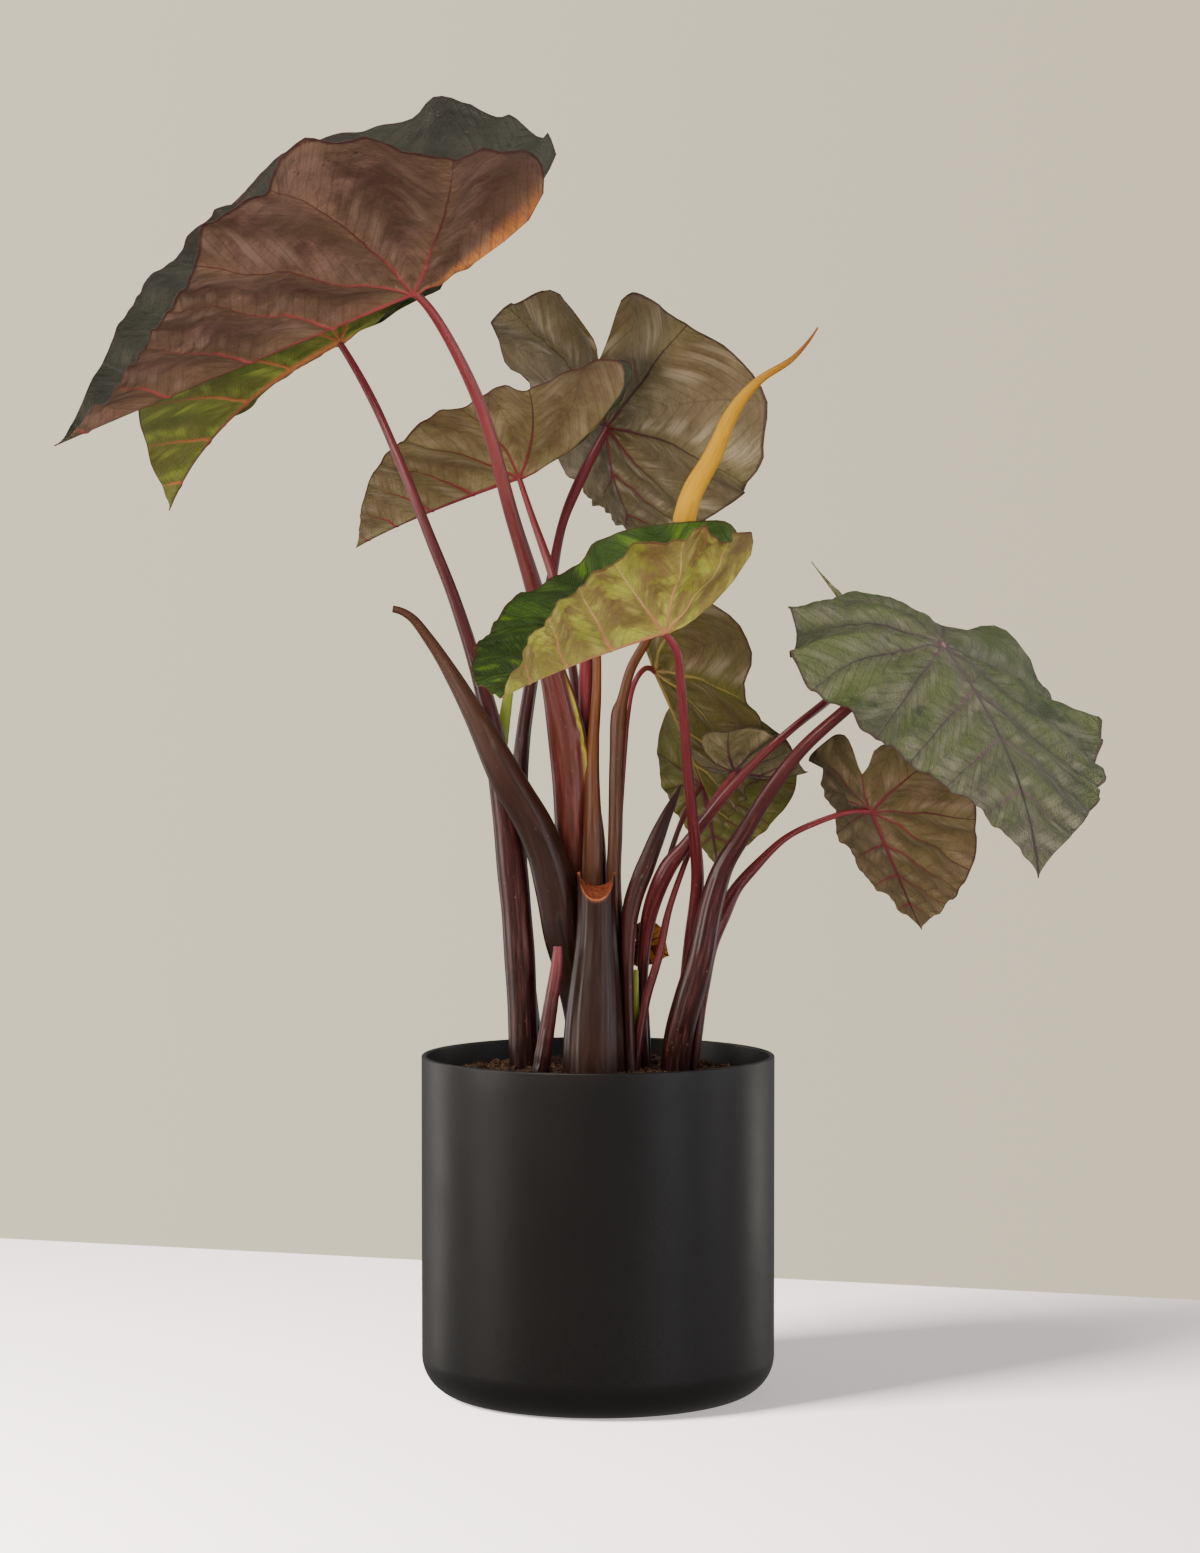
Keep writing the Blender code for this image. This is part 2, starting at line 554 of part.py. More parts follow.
def main():
    """Clear the scene and build the plant in its pot."""
    for old in list(bpy.data.objects):
        bpy.data.objects.remove(old, do_unlink=True)
    parts = bpy.data.collections.new("potted_elephant_ear")
    cutters = bpy.data.collections.new("cutters")
    for collection in (parts, cutters):
        bpy.context.scene.collection.children.link(collection)
    root = bpy.data.objects.new("potted_elephant_ear_root", None)
    parts.objects.link(root)

    build_pot(parts, root)
    build_soil(parts, root)
    for leaf in LEAVES:
        build_leaf(leaf, parts, root)
    for stalk in PLAIN_STALKS:
        tube(stalk.name, stalk_points(stalk), stalk.roundness, parts, root,
             material(stalk.name, stalk.colour, 0.4))
    build_spathe(parts, root)
    build_stub(parts, cutters, root)
    for name, route in STRAPS:
        build_strap(name, route, parts, root)


if __name__ == "__main__":
    main()
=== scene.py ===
"""Looks of the potted elephant ear: ribbed, rippled blades on glossy wine-red stalks.

Metres, +Z up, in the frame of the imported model.  A blade or a stalk is laid out in
millimetres from the middle of the soil's level top, then moved into the frame.
"""
import logging
from dataclasses import dataclass, field
from enum import Enum
from math import pi, radians
from typing import ClassVar, Sequence

import bpy
import numpy as np
from mathutils import Euler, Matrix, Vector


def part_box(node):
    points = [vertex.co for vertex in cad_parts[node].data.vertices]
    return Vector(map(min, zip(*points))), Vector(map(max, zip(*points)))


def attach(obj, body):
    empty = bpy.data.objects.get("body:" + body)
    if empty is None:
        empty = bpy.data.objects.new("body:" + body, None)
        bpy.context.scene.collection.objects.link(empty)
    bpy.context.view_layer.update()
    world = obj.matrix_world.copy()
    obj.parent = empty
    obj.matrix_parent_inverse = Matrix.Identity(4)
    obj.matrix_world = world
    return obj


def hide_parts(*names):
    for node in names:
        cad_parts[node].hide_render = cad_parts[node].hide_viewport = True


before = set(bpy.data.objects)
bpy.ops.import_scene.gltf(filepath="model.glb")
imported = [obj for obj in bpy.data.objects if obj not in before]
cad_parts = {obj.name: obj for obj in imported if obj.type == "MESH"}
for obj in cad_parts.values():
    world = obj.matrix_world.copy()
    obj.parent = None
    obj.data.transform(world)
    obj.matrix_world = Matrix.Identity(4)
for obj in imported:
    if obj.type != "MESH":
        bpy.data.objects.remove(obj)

LOG = logging.getLogger("elephant_ear")
MM = 0.001
BODY = "root"
VIVID = 1.14
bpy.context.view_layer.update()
SOIL_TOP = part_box("soil")[1].z
POT_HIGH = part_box("pot")[1]
POT_WALL = 0.0035
SOIL_GAP = 0.0004

Colour = tuple[float, float, float, float]
Route = Sequence[Sequence[float]]


class Half(Enum):
    """The two halves of a blade, with the sign of their distance from the midrib."""
    LEFT = 1.0
    RIGHT = -1.0


class Skin(Enum):
    """The two faces of a blade, with their material's place on the mesh."""
    UPPER = 0
    UNDER = 1


# --------------------------------------------------------------------------- tools


def paint(code: str) -> Colour:
    """Turn a display colour code into a linear colour.

    The channels are first pushed away from their mean, as the film-like view mutes
    colours.  Each channel c then becomes c / 12.92 when dark and ((c + 0.055) / 1.055)
    ** 2.4 otherwise.

    Args:
        code: six hexadecimal digits, red first.

    Returns:
        Red, green, blue and an alpha of one.
    """
    channels = np.array([int(code[i:i + 2], 16) for i in (0, 2, 4)]) / 255.0
    channels = np.clip(channels.mean() + VIVID * (channels - channels.mean()), 0.0, 1.0)
    dark, bright = channels / 12.92, ((channels + 0.055) / 1.055) ** 2.4
    red, green, blue = np.where(channels <= 0.04045, dark, bright)
    return float(red), float(green), float(blue), 1.0


def smooth_route(points: Route, count: int) -> np.ndarray:
    """Read a smooth curve through the route's points.

    A cubic runs through each pair of points, with the slope at a point the mean of the
    slopes on both sides, weighted by the length of the other side.

    Args:
        points: rows of x, y, z and any further columns.
        count: how many rows to return.

    Returns:
        The curve's rows, evenly spread over the square root of the chord length.
    """
    p = np.asarray(points, float)
    chord = np.sqrt(np.linalg.norm(np.diff(p[:, :3], axis=0), axis=1))
    t = np.concatenate([[0.0], np.cumsum(chord)])
    step = np.diff(t)[:, None]
    slope = np.diff(p, axis=0) / step
    tangent = np.empty_like(p)
    tangent[1:-1] = (slope[1:] * step[:-1] + slope[:-1] * step[1:]) / (step[1:] + step[:-1])
    tangent[0] = 2 * slope[0] - tangent[1]
    tangent[-1] = 2 * slope[-1] - tangent[-2]
    x = np.linspace(0.0, t[-1], count)
    i = np.clip(np.searchsorted(t, x, side="right") - 1, 0, len(p) - 2)
    h = step[i]
    s = (x - t[i])[:, None] / h
    return ((2 * s**3 - 3 * s**2 + 1) * p[i] + (s**3 - 2 * s**2 + s) * h * tangent[i]
            + (3 * s**2 - 2 * s**3) * p[i + 1] + (s**3 - s**2) * h * tangent[i + 1])


def ease(low: float, high: float, value: np.ndarray) -> np.ndarray:
    """Climb smoothly from 0 at low to 1 at high: 3 u squared minus 2 u cubed."""
    u = np.clip((value - low) / (high - low), 0.0, 1.0)
    return u * u * (3.0 - 2.0 * u)


def ripple(points: np.ndarray, length: float, seed: int, waves: int = 9) -> np.ndarray:
    """Smooth, repeatable unevenness: the mean of plane sine waves in random directions.

    Args:
        points: positions, one row each.
        length: the typical wave length, in the units of the points.
        seed: picks the directions and phases.
        waves: how many sine waves are added.

    Returns:
        Values of about -1 to 1.
    """
    rng = np.random.default_rng(seed)
    ways = rng.normal(size=(waves, points.shape[-1]))
    ways /= np.linalg.norm(ways, axis=1)[:, None]
    turns = ways * (2 * pi / length) * rng.uniform(0.6, 1.5, (waves, 1))
    return np.sin(points @ turns.T + rng.uniform(0, 2 * pi, waves)).sum(-1) / waves ** 0.5 * 0.8


def grid_faces(columns: int, rows: int, closed: bool = False) -> np.ndarray:
    """Corner numbers of a grid whose point (column, row) has number column * rows + row.

    Args:
        columns: how many points there are across.
        rows: how many points each column has.
        closed: whether the last column joins the first.

    Returns:
        One row of four point numbers for each square.
    """
    across = columns if closed else columns - 1
    column, row = np.meshgrid(np.arange(across), np.arange(rows - 1), indexing="ij")
    beside = (column + 1) % columns
    return np.stack([column * rows + row, beside * rows + row, beside * rows + row + 1,
                     column * rows + row + 1], -1).reshape(-1, 4)


@dataclass
class Surface:
    """Faces of a piece with values that ride on their corners.

    Each face is a row of four point numbers.  marks holds, by name, one row of three
    numbers for each point; skins holds each face's material place.
    """
    points: np.ndarray
    faces: np.ndarray
    marks: dict[str, np.ndarray] = field(default_factory=dict)
    skins: np.ndarray | None = None

    @staticmethod
    def joined(parts: Sequence["Surface"]) -> "Surface":
        """Put several surfaces into one, their point numbers following on.

        Args:
            parts: the surfaces, all with the same marks.

        Returns:
            The one surface.
        """
        starts = np.cumsum([0] + [len(part.points) for part in parts[:-1]])
        return Surface(
            np.vstack([part.points for part in parts]),
            np.vstack([part.faces + start for part, start in zip(parts, starts)]),
            {name: np.vstack([part.marks[name] for part in parts])
             for name in parts[0].marks},
            np.concatenate([part.skins if part.skins is not None
                            else np.zeros(len(part.faces), int) for part in parts]))

    def make(self, name: str, finishes: Sequence[bpy.types.Material], sharp: float = 55.0,
             weld: float = 2e-6) -> bpy.types.Object:
        """Weld the surface's seams and poles and make the object.

        Points closer than the weld are one.  A face keeps each corner that differs from
        its next one, so a square with a pole becomes a triangle and one shrunk to a line
        is dropped.

        Args:
            name: the object's name.
            finishes: the materials, in the order of the skins.
            sharp: edges bent more than this many degrees stay sharp.
            weld: how close two points have to be to become one, in metres.

        Returns:
            The object, linked to the scene.
        """
        keys = np.round(self.points / weld).astype(np.int64)
        _, first, same = np.unique(keys, axis=0, return_index=True, return_inverse=True)
        faces = same.reshape(-1)[self.faces]
        keep = faces != np.roll(faces, -1, axis=1)
        whole = keep.sum(1) >= 3
        keep &= whole[:, None]
        corners, sizes = faces[keep], keep.sum(1)[whole]
        mesh = bpy.data.meshes.new(name)
        mesh.vertices.add(len(first))
        mesh.vertices.foreach_set("co", self.points[first].astype(np.float32).ravel())
        mesh.loops.add(len(corners))
        mesh.loops.foreach_set("vertex_index", corners.astype(np.int32))
        mesh.polygons.add(len(sizes))
        starts = np.concatenate([[0], np.cumsum(sizes)[:-1]]).astype(np.int32)
        mesh.polygons.foreach_set("loop_start", starts)
        if self.skins is not None:
            mesh.polygons.foreach_set("material_index", self.skins[whole].astype(np.int32))
        mesh.update(calc_edges=True)
        for mark, values in self.marks.items():
            layer = mesh.attributes.new(mark, "FLOAT_VECTOR", "CORNER")
            layer.data.foreach_set("vector", values[self.faces[keep]].astype(np.float32).ravel())
        mesh.validate()
        mesh.shade_smooth()
        mesh.set_sharp_from_angle(angle=radians(sharp))
        for finish in finishes:
            mesh.materials.append(finish)
        made = bpy.data.objects.new(name, mesh)
        bpy.context.scene.collection.objects.link(made)
        return made


def settle(piece: bpy.types.Object, node: str) -> bpy.types.Object:
    """Tie a piece to the body and hide the CAD node it stands for.

    Args:
        piece: the finished object.
        node: the CAD node it stands for.

    Returns:
        The same object.
    """
    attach(piece, BODY)
    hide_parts(node)
    LOG.info("%s: %d faces", piece.name, len(piece.data.polygons))
    return piece


class Wiring:
    """A material whose nodes are joined by short calls."""

    def __init__(self, name: str) -> None:
        """Make an empty material with an output.

        Args:
            name: the material's name.
        """
        self.material = bpy.data.materials.new(name)
        self.material.use_nodes = True
        self.tree = self.material.node_tree
        self.tree.nodes.clear()
        self.output = self.tree.nodes.new("ShaderNodeOutputMaterial")

    def feed(self, socket: bpy.types.NodeSocket, value: object) -> None:
        """Join a socket to another's output, or set its constant.

        Args:
            socket: the input to fill.
            value: an output to join it to, or its constant.
        """
        if isinstance(value, bpy.types.NodeSocket):
            self.tree.links.new(value, socket)
        else:
            socket.default_value = value

    def maths(self, operation: str, *values: object, clamp: bool = False) -> object:
        """One Math node on up to three numbers.

        Args:
            operation: what the node works out.
            values: outputs or numbers.
            clamp: whether the result is kept between 0 and 1.

        Returns:
            The result.
        """
        node = self.tree.nodes.new("ShaderNodeMath")
        node.operation, node.use_clamp = operation, clamp
        for socket, value in zip(node.inputs, values):
            self.feed(socket, value)
        return node.outputs[0]

    def climb(self, value: object, low: object, high: object, to_low: float = 0.0,
              to_high: float = 1.0) -> object:
        """A smooth step of a value between low and high.

        Args:
            value: the value that climbs.
            low: where the climb starts.
            high: where it ends.
            to_low: the result at low.
            to_high: the result at high.

        Returns:
            The result.
        """
        node = self.tree.nodes.new("ShaderNodeMapRange")
        node.interpolation_type = "SMOOTHSTEP"
        for name, given in (("Value", value), ("From Min", low), ("From Max", high),
                            ("To Min", to_low), ("To Max", to_high)):
            self.feed(node.inputs[name], given)
        return node.outputs["Result"]

    def mix(self, share: object, first: object, second: object,
            blend: str = "MIX") -> object:
        """Mix two colours.

        Args:
            share: the share of the second.
            first: the first colour.
            second: the second colour.
            blend: the kind of mix.

        Returns:
            The mixed colour.
        """
        node = self.tree.nodes.new("ShaderNodeMix")
        node.data_type, node.blend_type = "RGBA", blend
        self.feed(node.inputs[0], share)
        self.feed(node.inputs[6], first)
        self.feed(node.inputs[7], second)
        return node.outputs[2]

    def noise(self, vector: object, scale: float, detail: float = 3.0,
              rough: float = 0.55) -> object:
        """A noise value.

        Args:
            vector: where it is read.
            scale: how many bumps to the metre.
            detail: how many finer layers.
            rough: how strong the finer layers are.

        Returns:
            The factor, about 0 to 1.
        """
        node = self.tree.nodes.new("ShaderNodeTexNoise")
        self.feed(node.inputs["Vector"], vector)
        self.feed(node.inputs["Scale"], scale)
        self.feed(node.inputs["Detail"], detail)
        self.feed(node.inputs["Roughness"], rough)
        return node.outputs["Fac"]

    def place(self) -> object:
        """Object coordinates."""
        return self.tree.nodes.new("ShaderNodeTexCoord").outputs["Object"]

    def mark(self, name: str) -> tuple[object, list[object]]:
        """Read a mark that rides on the mesh.

        Args:
            name: the mark's name.

        Returns:
            Its vector, and its three numbers.
        """
        node = self.tree.nodes.new("ShaderNodeAttribute")
        node.attribute_name = name
        split = self.tree.nodes.new("ShaderNodeSeparateXYZ")
        self.feed(split.inputs[0], node.outputs["Vector"])
        return node.outputs["Vector"], list(split.outputs)

    def vector(self, x: object, y: object, z: object = 0.0) -> object:
        """Put three numbers into one vector.

        Args:
            x: the first number.
            y: the second number.
            z: the third number.

        Returns:
            The vector.
        """
        node = self.tree.nodes.new("ShaderNodeCombineXYZ")
        for socket, value in zip(node.inputs, (x, y, z)):
            self.feed(socket, value)
        return node.outputs[0]

    def bump(self, height: object, strength: float, depth: float) -> object:
        """A Bump node.

        Args:
            height: the height that bends the light.
            strength: how much of it shows, 0 to 1.
            depth: the height of a full step, in metres.

        Returns:
            The bumped normal.
        """
        node = self.tree.nodes.new("ShaderNodeBump")
        self.feed(node.inputs["Strength"], strength)
        self.feed(node.inputs["Distance"], depth)
        self.feed(node.inputs["Height"], height)
        return node.outputs["Normal"]

    def mix_shaders(self, share: object, first: object, second: object) -> object:
        """Mix two shaders.

        Args:
            share: the share of the second.
            first: the first shader.
            second: the second shader.

        Returns:
            The mixed shader.
        """
        node = self.tree.nodes.new("ShaderNodeMixShader")
        for socket, value in zip(node.inputs, (share, first, second)):
            self.feed(socket, value)
        return node.outputs[0]

    def finish(self, colour: object, roughness: object, normal: object | None = None,
               specular: float = 0.5, thin: float = 0.0,
               coat: float = 0.0) -> bpy.types.Material:
        """Join the Principled shader, with a share of light let through if it is thin.

        Args:
            colour: the base colour.
            roughness: the roughness.
            normal: the bumped normal, if any.
            specular: the specular level.
            thin: the share of light that a thin blade lets through.
            coat: the weight of a clear, waxy coat.

        Returns:
            The finished material.
        """
        shader = self.tree.nodes.new("ShaderNodeBsdfPrincipled")
        self.feed(shader.inputs["Base Color"], colour)
        self.feed(shader.inputs["Roughness"], roughness)
        self.feed(shader.inputs["Specular IOR Level"], specular)
        self.feed(shader.inputs["Coat Weight"], coat)
        self.feed(shader.inputs["Coat Roughness"], 0.3)
        if normal is not None:
            self.feed(shader.inputs["Normal"], normal)
        surface = shader.outputs[0]
        if thin:
            through = self.tree.nodes.new("ShaderNodeBsdfTranslucent")
            self.feed(through.inputs["Color"], colour)
            surface = self.mix_shaders(thin, surface, through.outputs[0])
        self.tree.links.new(surface, self.output.inputs["Surface"])
        return self.material


# ------------------------------------------------------------------------ finishes


@dataclass(frozen=True)
class LeafFinish:
    """Colours of one face of a blade.

    deep and light share the lamina in blotches, glow lies along the ribs, tip and lobe
    tint the two ends, rib and stem colour the ribs and the midrib near the stalk, hair
    the fine lines and edge the margin.  patch is a second blotch.  The pale colour beside
    the ribs is a painted sheen, a painted highlight, and the colour of the sector beside
    the notch is painted light shining through the lobe.
    """
    deep: str
    light: str
    glow: str
    tip: str
    lobe: str
    rib: str
    stem: str
    hair: str
    edge: str
    glow_reach: float = 7.0
    glow_share: float = 0.5
    patch: str = "000000"
    patch_share: float = 0.0
    hair_share: float = 0.45
    painted_sheen: str = "a0907e"
    painted_sheen_share: float = 0.45
    painted_backlight: str = "000000"
    painted_backlight_share: float = 0.0
    gloss: float = 0.44
    shine: float = 0.36
    thin: float = 0.16
    rib_width: float = 1.25
    stem_reach: float = 60.0

    def make(self, name: str) -> bpy.types.Material:
        """Build the material from the marks Rib and Lie that ride on the blade.

        Rib holds the rib number, the way along the rib and the gap between ribs; Lie
        holds the distance from the midrib, the share of the way to the margin and the
        share of the way to the tip.  Lengths are in millimetres.  The distance from the
        nearest rib is the gap times the rib number's distance from a whole number, and
        the hair lines run where the way along the rib less that distance is a multiple
        of their spacing.

        Args:
            name: the material's name.

        Returns:
            The material.
        """
        w = Wiring(name)
        _, (number, along, gap) = w.mark("Rib")
        _, (middle, outward, tipward) = w.mark("Lie")
        place = w.place()
        part = w.maths("ABSOLUTE", w.maths("SUBTRACT", w.maths(
            "FRACT", w.maths("ADD", number, 20.5)), 0.5))
        away = w.maths("MULTIPLY", part, gap)
        blotch = w.noise(place, 24.0, 4.0, 0.6)
        fine = w.noise(place, 260.0, 3.0)
        # Streaks run with the hair lines.
        wander = w.maths("MULTIPLY", w.noise(place, 60.0, 2.0), 3.0)
        flow = w.maths("ADD", w.maths("SUBTRACT", along, w.maths("MULTIPLY", away, 1.1)),
                       wander)
        streak = w.noise(w.vector(w.maths("MULTIPLY", flow, 0.22),
                                  w.maths("MULTIPLY", number, 2.3), middle), 1.0, 3.0, 0.7)
        lamina = w.mix(w.climb(blotch, 0.4, 0.6), paint(self.deep), paint(self.light))
        lamina = w.mix(w.climb(tipward, 0.3, 1.0, 0.0, 0.7), lamina, paint(self.tip))
        lamina = w.mix(w.climb(tipward, -0.3, -1.0, 0.0, 0.7), lamina, paint(self.lobe))
        if self.patch_share:
            spot = w.climb(w.noise(w.vector(number, w.maths("MULTIPLY", along, 0.03),
                                            0.4), 1.1, 3.0, 0.6), 0.42, 0.54)
            lamina = w.mix(w.maths("MULTIPLY", spot, self.patch_share), lamina,
                           paint(self.patch))
        # Painted light: the sector beside the notch is tinted as if lit through from behind.
        if self.painted_backlight_share:
            painted_backlight = w.climb(number, -2.68, -2.9, 0.0, self.painted_backlight_share)
            lamina = w.mix(painted_backlight, lamina, paint(self.painted_backlight))
        near = w.maths("EXPONENT", w.maths("DIVIDE", away, -self.glow_reach))
        inner = w.maths("EXPONENT", w.maths("DIVIDE", middle, -2.2 * self.glow_reach))
        glow = w.maths("MULTIPLY", w.maths("MAXIMUM", near, inner), self.glow_share,
                       clamp=True)
        lamina = w.mix(glow, lamina, paint(self.glow))
        lamina = w.mix(w.climb(streak, 0.38, 0.7, 0.0, 0.55), lamina, paint(self.deep))
        lamina = w.mix(w.climb(fine, 0.35, 0.8, 0.0, 0.25), lamina, paint(self.light))
        # Painted sheen: a pale painted highlight where the lamina swells beside the ribs.
        swell = w.maths("MULTIPLY", w.climb(part, 0.06, 0.2), w.climb(part, 0.42, 0.24))
        painted_sheen = w.maths("MULTIPLY", swell, w.climb(w.noise(w.vector(
            w.maths("MULTIPLY", flow, 0.06), number, 0.7), 1.3, 3.0, 0.6), 0.42, 0.68))
        lamina = w.mix(w.maths("MULTIPLY", painted_sheen, self.painted_sheen_share), lamina,
                       paint(self.painted_sheen))
        # Hair lines, every fourth one stronger.
        lines = []
        for spacing, width, share in ((2.4, 0.5, 0.55), (9.6, 0.9, 1.0)):
            phase = w.maths("FRACT", w.maths("DIVIDE", flow, spacing))
            off = w.maths("MULTIPLY", w.maths("ABSOLUTE", w.maths(
                "SUBTRACT", phase, 0.5)), spacing)
            lines.append(w.climb(off, width, 0.0, 0.0, share))
        hair = w.maths("MULTIPLY", w.maths("MAXIMUM", *lines), self.hair_share)
        lamina = w.mix(hair, lamina, paint(self.hair))
        # The seam half way between two ribs, where their hair lines meet.
        seam_off = w.maths("MULTIPLY", w.maths("SUBTRACT", 0.5, part), gap)
        seam = w.maths("MULTIPLY", w.climb(seam_off, 0.9, 0.1, 0.0, 0.35),
                       w.climb(outward, 0.3, 0.6))
        lamina = w.mix(seam, lamina, paint(self.hair))
        # Ribs and midrib taper on their way out.
        reach = w.climb(w.maths("MINIMUM", middle, along), 0.0, self.stem_reach)
        rib_colour = w.mix(reach, paint(self.stem), paint(self.rib))
        rib_width = w.climb(outward, 0.0, 1.0, self.rib_width, 0.3 * self.rib_width)
        rib = w.climb(away, w.maths("MULTIPLY", rib_width, 1.5),
                      w.maths("MULTIPLY", rib_width, 0.6))
        mid_width = w.climb(tipward, -0.05, 1.0, 1.9 * self.rib_width,
                            0.5 * self.rib_width)
        mid = w.climb(middle, w.maths("MULTIPLY", mid_width, 1.4),
                      w.maths("MULTIPLY", mid_width, 0.7))
        mid = w.maths("MULTIPLY", mid, w.climb(tipward, -0.06, 0.0))
        mid_colour = w.mix(w.climb(tipward, 0.1, 0.8), paint(self.stem), paint(self.rib))
        colour = w.mix(w.maths("MULTIPLY", rib, 0.92), lamina, rib_colour)
        colour = w.mix(w.maths("MULTIPLY", mid, 0.95), colour, mid_colour)
        colour = w.mix(w.climb(outward, 0.978, 0.992, 0.0, 0.8), colour, paint(self.edge))
        rough = w.climb(streak, 0.2, 0.8, self.gloss - 0.06, self.gloss + 0.12)
        lift = w.maths("ADD", w.maths("MULTIPLY", hair, -0.6),
                       w.maths("MULTIPLY", fine, 0.35))
        lift = w.maths("ADD", lift, w.maths("MULTIPLY", streak, 1.1))
        return w.finish(colour, rough, w.bump(lift, 0.8, 0.0014), self.shine, self.thin)


@dataclass(frozen=True)
class StemFinish:
    """Colours of a stalk from its foot to its top, its streaks, specks and sheath lip."""
    foot: str
    middle: str
    top: str
    streak: str
    lip: str
    lip_share: float = 0.6
    gloss: float = 0.27
    coat: float = 0.14
    speck: str = "a87670"

    def make(self, name: str) -> bpy.types.Material:
        """Build the material from the marks Grain and Rise that ride on the stalk.

        Grain is the direction round the stalk and the way along it, so that stretched
        noise gives lengthwise streaks; Rise holds the share of the height, the nearness
        to the sheath's lip and the distance along in millimetres.

        Args:
            name: the material's name.

        Returns:
            The material.
        """
        w = Wiring(name)
        grain, (east, north, along) = w.mark("Grain")
        _, (rise, lip, _) = w.mark("Rise")
        place = w.place()
        # Darker towards the foot: partly the stalk's own colour and partly painted shade of the
        # crowded base.
        colour = w.mix(w.climb(rise, 0.0, 0.45), paint(self.foot), paint(self.middle))
        colour = w.mix(w.climb(rise, 0.45, 1.0), colour, paint(self.top))
        slow = w.noise(w.vector(w.maths("MULTIPLY", east, 2.2), w.maths(
            "MULTIPLY", north, 2.2), w.maths("MULTIPLY", along, 0.6)), 1.6, 3.0)
        streaks = w.noise(w.vector(w.maths("MULTIPLY", east, 5.0), w.maths(
            "MULTIPLY", north, 5.0), w.maths("MULTIPLY", along, 0.5)), 1.5, 3.0, 0.6)
        colour = w.mix(w.climb(streaks, 0.45, 0.75, 0.0, 0.55), colour, paint(self.streak))
        colour = w.mix(w.climb(slow, 0.5, 0.75, 0.0, 0.5), colour, paint(self.foot))
        fleck = w.climb(w.noise(place, 420.0, 1.0), 0.71, 0.78, 0.0, 0.22)
        colour = w.mix(fleck, colour, paint(self.speck))
        colour = w.mix(w.maths("MULTIPLY", lip, self.lip_share), colour, paint(self.lip))
        rough = w.climb(streaks, 0.3, 0.8, self.gloss, self.gloss + 0.18)
        lift = w.maths("ADD", w.maths("MULTIPLY", streaks, 0.4),
                       w.maths("MULTIPLY", w.noise(place, 220.0, 2.0), 0.4))
        return w.finish(colour, rough, w.bump(lift, 0.25, 0.0004), 0.4, 0.0, self.coat)


@dataclass(frozen=True)
class PotFinish:
    """Matte charcoal plastic with a faint moulded grain and a few pale scuffs."""
    body: str = "0a090a"
    grain: str = "0e0c0d"
    scuff: str = "242122"

    def make(self, name: str) -> bpy.types.Material:
        """Mix two near blacks by fine noise and lay thin scuffs over them.

        Args:
            name: the material's name.

        Returns:
            The material.
        """
        w = Wiring(name)
        place = w.place()
        fine = w.noise(place, 900.0, 2.0)
        broad = w.noise(place, 9.0, 3.0)
        colour = w.mix(w.climb(fine, 0.3, 0.75, 0.0, 0.6), paint(self.body),
                       paint(self.grain))
        colour = w.mix(w.climb(w.noise(place, 38.0, 6.0, 0.8), 0.68, 0.8, 0.0, 0.12), colour,
                       paint(self.scuff))
        rough = w.climb(broad, 0.3, 0.7, 0.38, 0.46)
        return w.finish(colour, rough, w.bump(fine, 0.25, 0.0003), 0.42)


@dataclass(frozen=True)
class CrumbFinish:
    """Bark, peat or coir: two browns, darkest in the dips."""
    deep: str
    light: str
    scale: float = 160.0

    def make(self, name: str) -> bpy.types.Material:
        """Mix two browns by noise, with a rough, broken bump.

        Args:
            name: the material's name.

        Returns:
            The material.
        """
        w = Wiring(name)
        place = w.place()
        grain = w.noise(place, self.scale, 5.0, 0.7)
        tint = w.noise(place, 70.0, 2.0)
        colour = w.mix(w.climb(grain, 0.35, 0.7), paint(self.deep), paint(self.light))
        colour = w.mix(w.climb(tint, 0.4, 0.65, 0.0, 0.5), colour, paint(self.deep))
        return w.finish(colour, 0.85, w.bump(grain, 0.8, 0.001), 0.3)


# -------------------------------------------------------------------------- blades


